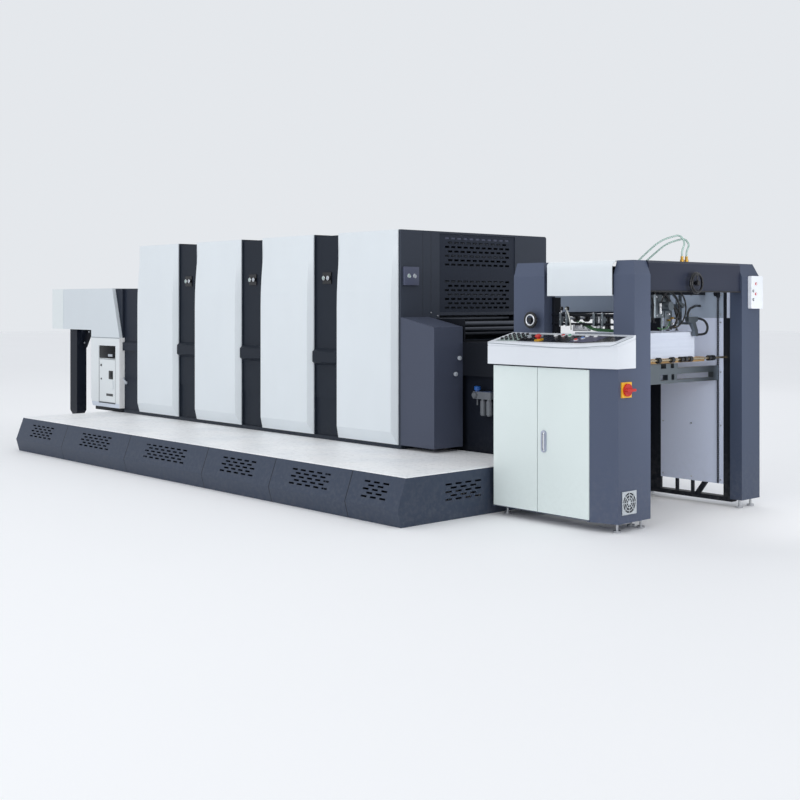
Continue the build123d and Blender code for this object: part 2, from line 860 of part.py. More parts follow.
def air_regulator():
    """The regulator on its bracket: a rounded body with a gauge on the front of its valve,
    the valve's drain, and two bowls beside it."""
    x = unit_end_x + regulator_x
    wall = table_y0 + lower_panel_setback
    y1 = wall - regulator_bracket
    y0 = y1 - regulator_depth
    z = (regulator_z - regulator_height / 2, regulator_z + regulator_height / 2)
    body = slab((x - regulator_length / 2, x + regulator_length / 2), (y0, y1), z)
    body = fillet(body.edges().filter_by(Axis.Z), regulator_depth / 4)
    body += slab((x - bowl_radius, x + bowl_radius), (y1, wall), (regulator_z - bowl_radius / 2, z[1]))
    y = (y0 + y1) / 2
    valve_x = x - regulator_pitch
    body += rod((valve_x, y0 + gauge_depth, regulator_z), (valve_x, y0 - gauge_depth, regulator_z),
                gauge_radius)
    body += rod((valve_x, y, z[0]), (valve_x, y, z[0] - drain_length), drain_radius)
    for bowl_x in (x, x + regulator_pitch):
        body += turned((bowl_x, y, z[0]), (0, 0, -1), [
            (0, bowl_neck_radius), (bowl_neck_length, bowl_neck_radius),
            (bowl_neck_length, bowl_radius), (bowl_length - bowl_radius / 2, bowl_radius),
            (bowl_length, bowl_neck_radius)])
    return body


def regulator_knob():
    """The pressure knob on top of the valve, on its narrower neck."""
    x = unit_end_x + regulator_x - regulator_pitch
    y = table_y0 + lower_panel_setback - regulator_bracket - regulator_depth / 2
    r, neck = regulator_knob_radius, bowl_neck_radius
    chamfer_height = r - neck
    return turned((x, y, regulator_z + regulator_height / 2), (0, 0, 1),
                  [(0, neck), (chamfer_height, neck), (chamfer_height, r),
                   (regulator_knob_height - chamfer_height / 2, r), (regulator_knob_height, neck)])


# Feeder portal

def column(x, y, bevel_x, bevel_y):
    """A feeder column whose top is bevelled on the sides that face out: bevel_x and
    bevel_y are -1, 0 or 1 for a bevel on the low side, none, or the high side."""
    body = slab(x, y, (column_foot, column_shoulder))
    low = make_face(Polyline(*[(a, b, column_shoulder) for a, b in corners(x, y)], close=True))
    tx = (x[0] + column_bevel * (bevel_x < 0), x[1] - column_bevel * (bevel_x > 0))
    ty = (y[0] + column_bevel * (bevel_y < 0), y[1] - column_bevel * (bevel_y > 0))
    high = make_face(Polyline(*[(a, b, feeder_top) for a, b in corners(tx, ty)], close=True))
    return body + loft([low, high], ruled=True)


def corners(x, y):
    """The four corners of a rectangle."""
    return [(x[0], y[0]), (x[1], y[0]), (x[1], y[1]), (x[0], y[1])]


def feeder_columns():
    """The four columns of the feeder: near, left, far and left on the drive side."""
    near = column((near_x0, feeder_x1), (feeder_y0, near_y1), 1, -1)
    left = column((feeder_x0, left_x1), (feeder_y0, feeder_y0 + left_column_depth), 1, -1)
    far = column((far_x0, feeder_x1), (far_y0, feeder_y1), 1, 1)
    left_drive = column((feeder_x0, feeder_x0 + left_drive_column_length), (far_y0, feeder_y1), 0, 1)
    return near, left + wheel_boss("column_handwheel"), far, left_drive


def end_header():
    """The header across the feeder's end, between the near and the far column."""
    x1 = feeder_x1 - header_setback
    x0 = x1 - header_gauge
    z1 = feeder_top
    outline = [(x0, header_low), (x1, header_low), (x1, z1 - header_setback),
               (x1 - header_setback, z1), (x0, z1)]
    return along_y(outline, (near_y1, far_y0)) + wheel_boss("header_handwheel")


def side_cover():
    """The light cover over the operator side: a sheet with a rounded front top edge."""
    y_front = feeder_y0 - side_cover_reach
    y_back = feeder_y0 + side_cover_return
    z0, z1 = feeder_top - side_cover_height, feeder_top
    r = side_cover_radius

    def skin(wall):
        y, z = y_front + wall, z1 - wall
        bend = r - wall
        mid = bend * (1 - cos(pi / 4))
        return y, z, bend, mid

    x = left_x1
    y, z, b, m = skin(0)
    v, w, c, n = skin(side_cover_wall)
    wire = Wire([
        Line((x, y, z0), (x, y, z - b)),
        ThreePointArc((x, y, z - b), (x, y + m, z - m), (x, y + b, z)),
        Line((x, y + b, z), (x, y_back, z)),
        Line((x, y_back, z), (x, y_back, w)),
        Line((x, y_back, w), (x, v + c, w)),
        ThreePointArc((x, v + c, w), (x, v + n, w - n), (x, v, w - c)),
        Line((x, v, w - c), (x, v, z0)),
        Line((x, v, z0), (x, y, z0)),
    ])
    return extrude(make_face(wire), amount=near_x0 - left_x1, dir=(1, 0, 0))


def feeder_beams():
    """Beams between the columns: the operator side's with the suction head's beam across
    to the drive side, two at the back, and the drive side's with its sill and guide."""
    carrier_y = feeder_y0 + left_column_depth - carrier_beam_depth
    carrier = slab((left_x1, near_x0), (carrier_y, carrier_y + carrier_beam_depth),
                   (carrier_beam_low, carrier_beam_low + carrier_beam_height))
    back_x = (feeder_x0, feeder_x0 + back_beam_gauge)
    back_y = (feeder_y0 + left_column_depth, far_y0)
    back_top = slab(back_x, back_y, (header_low, feeder_top))
    back_low = slab(back_x, back_y, (column_foot, column_foot + back_beam_low_height))
    rail_y = feeder_y0 + side_rail_inset
    rail = rod((left_x1, rail_y, side_rail_z), (near_x0, rail_y, side_rail_z), side_rail_radius)
    head_half = head_beam_width / 2
    carrier += slab((head_x - head_half, head_x + head_half), (carrier_y, panel_y),
                    (head_top, carrier_beam_low))
    return [carrier, rail, back_top, back_low, drive_side_frame()]


def drive_side_frame():
    """The drive side's beam and sill, the guides beside the panels, and the props under them."""
    x = (feeder_x0 + left_drive_column_length, far_x0)
    y = (panel_y + sheet_metal, panel_y + sheet_metal + drive_beam_depth)
    sill_top = sill_low + sill_height
    frame = slab(x, y, (header_low, feeder_top)) + slab(x, y, (sill_low, sill_top))
    for guide_x in ((x[0], panel_x0), (panel_x1, x[1])):
        frame += slab(guide_x, (panel_y, panel_y + guide_gauge), (sill_top, header_low))
    prop_y = (panel_y + sheet_metal, panel_y + sheet_metal + prop_gauge)
    prop_z = (sill_top, panel_low + prop_lap)
    length = panel_x1 - panel_x0
    for share in prop_x_shares:
        prop_x = panel_x0 + length * share
        frame += slab((prop_x - prop_width / 2, prop_x + prop_width / 2), prop_y, prop_z)
    foot, head = [panel_x0 + length * share for share in brace_x_shares]
    frame += along_y([(foot, prop_z[0]), (foot + brace_width, prop_z[0]),
                      (head + brace_width, prop_z[1]), (head, prop_z[1])], prop_y)
    return frame


def drive_panel(z):
    """A panel of the feeder's drive side, between the left guide and the right guide."""
    return slab((panel_x0, panel_x1), (panel_y, panel_y + sheet_metal), z)


# Pile lift

def lift_bars():
    """Two pairs of bars across the pile, one hung under the other by spacers, with three
    runners on top that carry the pile board."""
    half = cross_bar_width / 2
    ends = (lift_y0, lift_y1)
    x = (lift_xs[0] - half, lift_xs[1] + half)

    def across(shares, widths):
        """The span along Y of each runner or spacer."""
        middles = [head_y + share * sheet_width / 2 for share in shares]
        return [(middle - width / 2, middle + width / 2) for middle, width in zip(middles, widths)]

    frame = Part()
    for y in across(runner_y_shares, runner_widths):
        frame += slab(x, y, (runner_low, runner_low + runner_height))
    for bar_x in lift_xs:
        span = (bar_x - half, bar_x + half)
        frame += slab(span, ends, (cross_bar_low, runner_low))
        frame += slab(span, ends, (lower_bar_low, lower_bar_low + lower_bar_height))
        for y in across(spacer_y_shares, spacer_widths):
            frame += slab(span, y, (lower_bar_low + lower_bar_height, cross_bar_low))
    return frame


def pile_board():
    """The board under the paper."""
    return slab((pile_x0 - board_overhang_x, pile_x1 + board_overhang_x),
                (pile_y0 - board_overhang_y, pile_y1 + board_overhang_y),
                (pile_low - board_gauge, pile_low))


def paper_pile():
    """The pile of blank sheets."""
    return slab((pile_x0, pile_x1), (pile_y0, pile_y1), (pile_low, pile_top))


def chain_places():
    """Each lift chain's middle along X, at the outer edge of its cross bar, with the face
    that it runs along and the way that face looks."""
    shift = (cross_bar_width - chain_width) / 2
    xs = (lift_xs[0] - shift, lift_xs[1] + shift)
    return [(x, y, inward) for x in xs for y, inward in ((feeder_y0 + left_column_depth, 1), (panel_y, -1))]


def lift_chains():
    """The four lift chains, each a flat strip beside the end of a cross bar."""
    return [slab((x - chain_width / 2, x + chain_width / 2), sorted((y, y + inward * chain_gauge)),
                 (panel_low, carrier_beam_low + chain_lap)) for x, y, inward in chain_places()]


def chain_wheels():
    """The wheel beside the top of each chain, with the bracket that carries it."""
    wheels = []
    z = header_low - chain_wheel_drop
    for x, y, inward in chain_places():
        middle = y + inward * (chain_gauge + seat_gap + chain_wheel_radius)
        half = chain_width / 2 + seat_gap
        wheel = rod((x - half, middle, z), (x + half, middle, z), chain_wheel_radius)
        side = x + half
        bracket_y = sorted((y, middle + inward * chain_wheel_radius / 2))
        wheel += slab((side, side + chain_bracket_gauge), bracket_y,
                      (header_low - chain_bracket_drop, carrier_beam_low + chain_lap))
        wheels.append(wheel)
    return wheels


def stop_rod():
    """The rod across the feeder's end, with its round sheet stops."""
    x = feeder_x1 - stop_rod_from_face
    length = panel_y - near_y1
    half = stop_knob_length / 2
    stations = [(0, stop_rod_radius)]
    for share in stop_knob_y_shares:
        at = length * share
        stations += [(at - half, stop_rod_radius), (at - half, stop_knob_radius),
                     (at + half, stop_knob_radius), (at + half, stop_rod_radius)]
    stations.append((length, stop_rod_radius))
    return turned((x, near_y1, stop_rod_z), (0, 1, 0), stations)


# Suction head

def sucker_places():
    """The middle of each sucker."""
    return [head_y + share * head_width for share in sucker_y_shares]


def suction_head():
    """The head under its beam: a rounded housing with a drum, the arm with the suckers,
    the foot that presses the pile, and a blower with its hanger on each side."""
    x = (head_x - head_length / 2, head_face)
    y = (head_y - head_width / 2, head_y + head_width / 2)
    body = slab(x, y, (head_top - head_height, head_top))
    body = fillet(body.edges().filter_by(Axis.Z), head_round)
    body += rod((head_face - overrun, head_y, arm_z), (head_face + drum_length, head_y, arm_z), drum_radius)
    places = sucker_places()
    half = arm_half
    body += slab((head_x - half, head_x + half), (places[0] - half, places[-1] + half),
                 (arm_z - half, arm_z + half))
    for place in places:
        body += sucker(place)
    low = pile_top + sucker_clearance
    body += turned((head_x + presser_out, head_y, low), (0, 0, 1), [
        (0, presser_pad_radius), (presser_pad_height, presser_pad_radius),
        (presser_pad_height, presser_radius), (head_top - head_height - low, presser_radius)])
    return [body, blower(1), blower(-1), lever()]


def sucker(place):
    """A sucker's tube with its two collars, from the cup to above the arm."""
    low = pile_top + sucker_clearance + sucker_cup_height
    length = arm_z + nozzle_length - low
    half = sucker_collar_height / 2
    stations = [(0, sucker_radius)]
    for share in sucker_collar_shares:
        at = length * share
        stations += [(at - half, sucker_radius), (at - half, sucker_collar_radius),
                     (at + half, sucker_collar_radius), (at + half, sucker_radius)]
    stations.append((length, sucker_radius))
    return turned((head_x, place, low), (0, 0, 1), stations)


def blower(side):
    """A blower behind the pile's edge, hung from the head's beam."""
    inner = head_y + side * (blower_out - blower_width / 2)
    outline = [(inner + side * blower_width * across, blower_low + blower_height * up)
               for across, up in zip(blower_y_shares, blower_z_shares)]
    piece = along_x(outline, (blower_x - blower_gauge / 2, blower_x + blower_gauge / 2))
    y = head_y + side * blower_out
    z = blower_low + blower_height * hanger_z_share
    half = hanger_half
    piece += slab((head_x - half, blower_x), (y - half, y + half), (z - 2 * half, z))
    return piece + slab((head_x - half, head_x + half), (y - half, y + half), (z - half, head_top))


def head_path(shares, side):
    """Points about the head, from shares of the hoses' reach and the head's width and height."""
    return [(head_face + hose_reach * out, head_y + side * head_width * along, arm_z + head_height * up)
            for out, along, up in shares]


def lever():
    """The cranked lever on the side of the head's beam, with its round knob."""
    points = head_path(lever_shares, 1)
    handle = hose(points, lever_radius)
    way = (Vector(*points[-1]) - Vector(*points[-2])).normalized()
    start = Vector(*points[-1]) - way * lever_knob_length / 2
    r, length = lever_knob_radius, lever_knob_length
    return handle + turned(start, way, [(0, r / 2), (r / 2, r), (length - r / 2, r), (length, r / 2)])


def sucker_cups():
    """The rubber cups at the ends of the sucker tubes."""
    low = pile_top + sucker_clearance
    h, r = sucker_cup_height, sucker_cup_radius
    return [turned((head_x, place, low + h), (0, 0, -1),
                   [(0, sucker_radius), (h / 2, sucker_radius), (h, r)]) for place in sucker_places()]


def blower_ring(side):
    """The hose that loops out from the top of a blower and back to its foot."""
    y = head_y + side * (blower_out + blower_width / 2)
    points = [(blower_x, y + side * ring_reach * along, blower_low + blower_height * up)
              for along, up in zip(ring_y_shares, ring_z_shares)]
    return hose(points, hose_radius)


def suction_hoses():
    """Black hoses: one that arches over the head and back to its foot, one from each side
    of the head to the outer sucker, and the hoses of the blowers."""
    x, y, z = blower_x, head_y + blower_out, blower_low
    tail = [(x + a, y + b, z + c) for a, b, c in tail_points]
    hoses = [hose(head_path(inner_hose_shares, 1), hose_radius), hose(tail, hose_radius)]
    for side in (-1, 1):
        hoses += [hose(head_path(outer_hose_shares, side), hose_radius), blower_ring(side)]
    return hoses


# Air hoses over the top

def fitting_places():
    """The middle of each hose fitting on the end header."""
    x = feeder_x1 - header_setback - header_gauge / 2
    return [(x, head_y + y, feeder_top) for y in fitting_ys]


def hose_fittings():
    """The two fittings on top of the end header."""
    h, r = fitting_height, fitting_radius
    return [turned(place, (0, 0, 1), [(0, r), (h * fitting_collar_share, r),
                                       (h * fitting_collar_share, r * fitting_neck_share),
                                       (h, r * fitting_neck_share)])
            for place in fitting_places()]


def air_hoses():
    """Two clear hoses that arch from the fittings over the header to the head's beam."""
    hoses = []
    for place, low_y, peak in zip(fitting_places(), air_hose_ends, air_hose_peaks):
        x, y, z = place
        start = z + fitting_height
        drop = x - head_x
        points = [(x, y, start), (x, y, start + peak * 0.2),
                  (x + air_hose_sway, y + air_hose_sway, start + peak * 0.5),
                  (x - air_hose_sway, y, z + peak), (x - drop * 0.35, (y + low_y) / 2, z + peak * 0.8),
                  (x - drop * 0.7, low_y + air_hose_sway * 3, z + peak * 0.25),
                  (head_x, low_y, z - peak * 0.3), (head_x, low_y, carrier_beam_low)]
        hoses.append(hose(points, air_hose_radius))
    return hoses


# Operator console

def console_cabinet():
    """The hollow cabinet, with its chamfered end and the pivots of its doors."""
    outline = [(console_x0, console_y0), (console_x1, console_y0), (console_x1, door_y0),
               (feeder_x1, door_y0 + console_chamfer_depth), (feeder_x1, feeder_y0),
               (console_x0, feeder_y0)]
    body = along_z(outline, (console_low, console_high))
    body -= slab((console_x0 + console_wall, console_x1 - console_wall),
                 (console_y0 - overrun, feeder_y0 - console_wall),
                 (console_low + console_wall, console_high - console_wall))
    for x in hinge_xs:
        half = door_gauge / 2
        for z, pin_z in ((console_low, (console_low, door_low + hinge_pin_depth)),
                         (door_high + door_gap, (door_high - hinge_pin_depth,
                                                 door_high + door_gap + hinge_tab_gauge))):
            body += slab((x - half, x + half), (door_y0, console_y0), (z, z + hinge_tab_gauge))
            body += rod((x, door_y, pin_z[0]), (x, door_y, pin_z[1]), hinge_pin_radius)
    return body


def console_door(hinge, free):
    """A door from its rounded hinge edge to its free edge, with bores for the pivots."""
    x = sorted((hinge, free))
    leaf = slab(x, (door_y0, door_y0 + door_gauge), (door_low, door_high))
    leaf += rod((hinge, door_y, door_low), (hinge, door_y, door_high), door_gauge / 2)
    for z in ((door_low - overrun, door_low + hinge_pin_depth + seat_gap),
              (door_high - hinge_pin_depth - seat_gap, door_high + overrun)):
        leaf -= rod((hinge, door_y, z[0]), (hinge, door_y, z[1]), hinge_pin_radius + pin_gap)
    return leaf


def door_split():
    """Where the two console doors meet."""
    return console_x0 + (console_x1 - console_x0) * door_split_share


def door_handle():
    """The slim handle plate near the free edge of the right door, with rounded ends."""
    x = door_split() + door_handle_from_split
    half = door_handle_width / 2
    top = door_handle_length / 2 - half
    plane = Plane((x, door_y0, door_handle_z), x_dir=(0, 0, 1), z_dir=(0, -1, 0))
    plate = extrude(plane * SlotCenterToCenter(2 * top, door_handle_width), amount=door_handle_reach)
    return plate


def desk_face(inset):
    """The desk's footprint, drawn in by an inset, with a rounded front corner."""
    points = [(desk_x0, desk_y0), (desk_x1 - desk_corner_length, desk_y0),
              (desk_x1, desk_y0 + desk_corner_depth), (desk_x1, feeder_y0), (desk_x0, feeder_y0)]
    face = make_face(Polyline(*[(x, y, console_high) for x, y in points], close=True))
    corner = face.vertices().sort_by_distance((desk_x1 - desk_corner_length, desk_y0, console_high))[:1]
    face = fillet(corner, desk_corner_length * desk_round_share)
    return offset(face, -inset, kind=Kind.INTERSECTION) if inset else face


def desk_wedge(low, high):
    """The space between two planes parallel to the desk's top, low and high above it."""
    rise = desk_slope
    y0, y1 = desk_y0 - overrun, feeder_y0 + overrun
    step = rise * overrun / (feeder_y0 - desk_y0)
    x = (desk_x0 - overrun, desk_x1 + overrun)
    return along_x([(y0, desk_top - step + low), (y1, desk_top + rise + step + low),
                    (y1, desk_top + rise + step + high), (y0, desk_top - step + high)], x)


def console_desk():
    """The desk: a fascia, a sloping top with a recess for the keypad, and the parting
    line under its lid."""
    block = extrude(desk_face(0), amount=desk_front_height + desk_slope + overrun)
    desk = block - desk_wedge(0, desk_slope * 2 + overrun)
    core = extrude(desk_face(desk_lid_groove), amount=desk_front_height + desk_slope + overrun)
    ring = desk_wedge(-desk_lid_line, desk_lid_groove - desk_lid_line) - core
    recess = extrude(desk_face(keypad_margin), amount=desk_front_height + desk_slope + overrun)
    return desk - ring - (recess & desk_wedge(-keypad_depth, desk_slope))


def desk_keypad():
    """The dark plate in the desk's recess."""
    plate = extrude(desk_face(keypad_margin + seat_gap), amount=desk_front_height + desk_slope + overrun)
    return plate & desk_wedge(-keypad_depth, -keypad_depth / 3)


def desk_plane():
    """The plane of the keypad: its middle, along X and up the slope."""
    y = (desk_y0 + feeder_y0) / 2
    z = desk_top + desk_slope / 2 - keypad_depth / 3
    run = feeder_y0 - desk_y0
    normal = Vector(0, -desk_slope, run).normalized()
    return Plane(((desk_x0 + desk_x1) / 2, y, z), x_dir=(1, 0, 0), z_dir=normal)


def desk_place(shares):
    """A place on the keypad, along X and up the slope, from shares of the desk's sizes."""
    length, depth = desk_x1 - desk_x0, feeder_y0 - desk_y0
    return length * (shares[0] - 0.5), depth * (shares[1] - 0.5)


def desk_grid(field_shares, columns, rows, pitch):
    """The places of a grid of controls about the middle of its field."""
    x, y = desk_place(field_shares)
    return [(x + (i - (columns - 1) / 2) * pitch, y + (j - (rows - 1) / 2) * pitch)
            for i in range(columns) for j in range(rows)]


def desk_buttons():
    """The controls on the keypad: turned dials, keys, and single buttons."""
    plane = desk_plane()
    r, h = button_radius, button_height
    button = [(0, r), (h * button_side_share, r), (h, r * button_edge_share)]
    skirt = dial_skirt_height
    dial = [(0, dial_skirt_radius), (skirt, dial_skirt_radius), (skirt, dial_radius),
            (dial_height, dial_radius)]
    spots = desk_grid(key_field_shares, key_columns, key_rows, key_pitch)
    spots += [desk_place(shares) for shares in button_spot_shares]
    dials = desk_grid(dial_field_shares, dial_columns, dial_rows, dial_pitch)
    return [turned(plane.from_local_coords(Vector(*spot, 0)), plane.z_dir, stations)
            for stations, places in ((button, spots), (dial, dials)) for spot in places]


def stop_button_base():
    """The ring under the emergency stop."""
    x, y = desk_place(stop_button_share)
    plane = desk_plane()
    start = plane.from_local_coords(Vector(x, y, 0))
    return turned(start, plane.z_dir, [(0, stop_base_radius), (stop_base_height, stop_base_radius)])


def stop_button():
    """The emergency stop's mushroom head on its stem."""
    x, y = desk_place(stop_button_share)
    plane = desk_plane()
    start = plane.from_local_coords(Vector(x, y, stop_base_height))
    low, high = stop_stem_height, stop_stem_height + stop_head_height
    r = stop_button_radius
    return turned(start, plane.z_dir, [
        (0, stop_stem_radius), (low, stop_stem_radius), (low, r * stop_head_edge_share),
        (low + stop_head_height / 3, r), (high - stop_head_height / 4, r * stop_head_round_share),
        (high, r * stop_head_top_share)])


# Switch and fan

def switch_plate():
    """The square plate of the main switch on the console's end."""
    half = switch_plate_size / 2
    return slab((feeder_x1, feeder_x1 + switch_plate_gauge), (switch_y - half, switch_y + half),
                (switch_z - half, switch_z + half))


def switch_handle():
    """The main switch's disc and its grip."""
    x = feeder_x1 + switch_plate_gauge + seat_gap
    handle = turned((x, switch_y, switch_z), (1, 0, 0),
                    [(0, switch_disc_radius), (switch_disc_gauge, switch_disc_radius)])
    half, reach = switch_grip_width / 2, switch_grip_length / 2
    grip = slab((x + switch_disc_gauge, x + switch_disc_gauge + switch_grip_reach),
                (switch_y - reach, switch_y + reach), (switch_z - half, switch_z + half))
    return handle + fillet(grip.edges().filter_by(Axis.X), half - seat_gap)


def fan_grille():
    """The round fan grille: a square rim, rings and spokes."""
    half = fan_size / 2
    x0, x1 = feeder_x1, feeder_x1 + fan_gauge
    plate = slab((x0, x1), (fan_y - half, fan_y + half), (fan_z - half, fan_z + half))
    rings = [(half * share, half * share - fan_ring_width) for share in fan_ring_radii_shares]
    axis = (1, 0, 0)
    start = (x0 - overrun, fan_y, fan_z)
    depth = fan_gauge + 2 * overrun
    inner = 0
    for outer, wall in rings:
        cut = turned(start, axis, [(0, wall), (depth, wall)])
        if inner:
            cut -= turned(start, axis, [(0, inner), (depth, inner)])
            plate -= cut
        inner = outer
    for i in range(fan_spokes):
        angle = pi * i / fan_spokes
        bar = slab((x0, x1), (-rings[-1][0], rings[-1][0]), (-fan_ring_width / 2, fan_ring_width / 2))
        plate += Pos(0, fan_y, fan_z) * Rot(angle * 180 / pi, 0, 0) * bar
    return plate


# Feet and handwheels

def foot_places(low, high):
    """One foot in the middle of a narrow span, or one near each end of a wide one."""
    if high - low < 2 * foot_inset + 2 * foot_radius:
        return [(low + high) / 2]
    return [low + foot_inset, high - foot_inset]


def levelling_feet():
    """The feet under the console and the feeder's columns."""
    front = door_y0 + console_chamfer_depth
    spans = [((console_x0, feeder_x1), (front, front + 2 * foot_inset)),
             ((near_x0, feeder_x1), (near_y1 - 2 * foot_inset, near_y1)),
             ((feeder_x0, left_x1), (feeder_y0, feeder_y0 + left_column_depth)),
             ((feeder_x0, feeder_x0 + left_drive_column_length), (far_y0, feeder_y1)),
             ((far_x0, feeder_x1), (far_y0, feeder_y1))]
    feet = []
    for x, y in spans:
        for place_x in foot_places(*x):
            for place_y in foot_places(*y):
                feet.append(turned((place_x, place_y, 0), (0, 0, 1), [
                    (0, foot_radius), (foot_disc, foot_radius), (foot_disc, foot_stem_radius),
                    (column_foot, foot_stem_radius)]))
    return feet


def handwheel(place, axis, radius, rim, reach, spokes):
    """A handwheel on its shaft: a round rim, spokes and a hub, reach out from its boss."""
    upright = (Align.CENTER, Align.CENTER, Align.MIN)
    start = boss_length + seat_gap
    wheel = Pos(0, 0, reach - wheel_hub_length / 2) * Cylinder(
        wheel_hub_radius, wheel_hub_length, align=upright)
    wheel += Pos(0, 0, start) * Cylinder(wheel_shaft_radius, reach - start, align=upright)
    for i in range(spokes):
        wheel += Pos(0, 0, reach) * Rot(0, 0, 360 * i / spokes) * Rot(0, 90, 0) * Cylinder(
            rim * spoke_share, radius - rim, align=upright)
    wheel += Pos(0, 0, reach) * Torus(radius - rim, rim)
    return Plane(Vector(*place), z_dir=Vector(*axis)).location * wheel


def wheel_places():
    """Each handwheel's place on the face that carries it, and the way it faces."""
    return {
        "column_handwheel": ((column_wheel_x, feeder_y0, column_wheel_z), (0, -1, 0)),
        "header_handwheel": ((feeder_x1 - header_setback, header_wheel_y, header_wheel_z), (1, 0, 0)),
    }


def wheel_boss(name):
    """The fixed boss behind a handwheel."""
    place, axis = wheel_places()[name]
    return turned(place, axis, [(0, boss_radius), (boss_length, boss_radius)])


def control_box():
    """The control box on the far column, with the buttons on its face."""
    y0 = feeder_y1 - box_width
    x = (feeder_x1, feeder_x1 + box_depth)
    box = slab(x, (y0, feeder_y1), (box_low, box_low + box_height))
    box = fillet(box.edges().filter_by(Axis.X), box_round)
    for across, up in box_button_shares:
        start = (x[1], y0 + box_width * across, box_low + box_height * up)
        box += turned(start, (1, 0, 0), [(0, box_button_radius), (box_button_height, box_button_radius)])
    return box


# Delivery

def hood_edge(z):
    """The hood's leaning right edge at a height."""
    return link_left - hood_lean * (z - hood_low_right) / (hood_top - hood_low_right)


def delivery_hood():
    """The hood over the delivery, lower beside the link section."""
    x0 = hood_x0 + cap_length
    outline = [(x0, hood_low_left), (link_left - hood_step, hood_low_left),
               (link_left - hood_step, hood_low_right), (link_left, hood_low_right),
               (hood_edge(hood_top), hood_top), (x0, hood_top)]
    return along_y(outline, (hood_y0, hood_y1))


def delivery_cap():
    """The rounded end of the hood."""
    cap = slab((hood_x0, hood_x0 + cap_length), (hood_y0 - cap_proud, hood_y1 + cap_proud),
               (hood_low_left, hood_top))
    end = cap.faces().sort_by(Axis.X)[0]
    return fillet(end.edges().filter_by(Axis.Z), cap_radius)


def delivery_frame():
    """The posts with their gussets and the side frames, on both sides."""
    x0 = hood_x0 + post_left
    x1 = x0 + post_length
    post = delivery_post((x0, x1), (side_y, side_y + post_depth))
    gusset = along_y([(x1, hood_low_left), (x1, hood_low_left - post_bracket_height),
                      (x1 + post_bracket_length, hood_low_left)],
                     (side_y + post_depth / 3, side_y + post_depth * 2 / 3))
    post += gusset
    frame = slab((link_left - delivery_frame_length, link_left),
                 (cabinet_y1, cabinet_y1 + delivery_frame_depth), (0, hood_low_right))
    return [post, frame, mirrored(post), mirrored(frame)]


def delivery_post(x, y):
    """A post with a tapered foot, on the stem and the disc of its levelling foot."""
    post = slab(x, y, (post_foot_top, hood_low_left))
    middle = ((x[0] + x[1]) / 2, (y[0] + y[1]) / 2)
    tip_x, tip_y = [[m + (side - m) * post_foot_share for side in sides]
                    for m, sides in zip(middle, (x, y))]
    faces = [make_face(Polyline(*[(a, b, z) for a, b in corners(u, v)], close=True))
             for u, v, z in ((tip_x, tip_y, post_foot_low), (x, y, post_foot_top))]
    foot = turned((*middle, 0), (0, 0, 1), [
        (0, post_disc_radius), (post_disc_height, post_disc_radius),
        (post_disc_height, post_stem_radius), (post_foot_low, post_stem_radius)])
    return post + loft(faces, ruled=True) + foot


def delivery_cabinet():
    """The small control cabinet, with a bevelled foot and a space behind its door."""
    x0, x1, z0 = cabinet_x0, link_left, cabinet_low
    outline = [(x0, z0 + cabinet_foot_bevel), (x0 + cabinet_foot_bevel / 2, z0), (x1, z0),
               (x1, hood_low_right), (x0, hood_low_right)]
    body = along_y(outline, (hood_y0, cabinet_y1))
    x, z = cabinet_door_x, cabinet_door_z
    body -= slab((x[0] - door_gap, x[1] + door_gap), (hood_y0 - overrun, hood_y0 + cabinet_pocket),
                 (z[0] - door_gap, z[1] + door_gap))
    body -= slab(x, (hood_y0 - overrun, hood_y0 + cabinet_window_gauge),
                 (z[1] + 2 * door_gap, z[1] + 2 * door_gap + cabinet_window_height))
    for z_wall, z_end in ((z[0] - door_gap, z[0] + hinge_pin_depth),
                          (z[1] - hinge_pin_depth, z[1] + door_gap)):
        body += rod((*cabinet_hinge, z_wall), (*cabinet_hinge, z_end), hinge_pin_radius)
    return body


def cabinet_door():
    """The cabinet's door with its handle plate."""
    hinge_x, hinge_y = cabinet_hinge
    z0, z1 = cabinet_door_z
    leaf = slab((hinge_x, cabinet_door_x[1]), (hood_y0, hood_y0 + cabinet_door_gauge), (z0, z1))
    leaf += rod((hinge_x, hinge_y, z0), (hinge_x, hinge_y, z1), cabinet_door_gauge / 2)
    for z in ((z0 - overrun, z0 + hinge_pin_depth + seat_gap),
              (z1 - hinge_pin_depth - seat_gap, z1 + overrun)):
        leaf -= rod((hinge_x, hinge_y, z[0]), (hinge_x, hinge_y, z[1]), hinge_pin_radius + pin_gap)
    x = cabinet_door_x[1] - cabinet_handle_width * 2
    middle = z0 + (z1 - z0) * cabinet_handle_z_share
    handle = slab((x, x + cabinet_handle_width), (hood_y0 - cabinet_handle_reach, hood_y0),
                  (middle - cabinet_handle_height / 2, middle + cabinet_handle_height / 2))
    return leaf + handle


# Button stations

def button_stations():
    """A two-button station on each section between the units."""
    stations = []
    for right in unit_rights[1:]:
        x = right + (unit_pitch - unit_width) / 2
        y = side_y + panel_setback
        station = slab((x - station_width / 2, x + station_width / 2), (y - station_gauge, y),
                       (station_z - station_height / 2, station_z + station_height / 2))
        for side in (-1, 1):
            station += turned((x + side * station_width / 4, y - station_gauge, station_z), (0, -1, 0),
                              [(0, station_button_radius), (station_button_height, station_button_radius)])
        stations.append(station)
    return stations


def end_station():
    """The two-button plate on the end of the fourth unit."""
    y0 = side_y + end_station_from_side
    plate = slab((unit_end_x, unit_end_x + station_gauge), (y0, y0 + end_station_width),
                 (end_station_z, end_station_z + end_station_height))
    for side in (-1, 1):
        start = (unit_end_x + station_gauge, y0 + end_station_width / 2 + side * end_station_width / 5,
                 end_station_z + end_station_height / 2)
        plate += turned(start, (1, 0, 0),
                        [(0, station_button_radius), (station_button_height, station_button_radius)])
    return plate


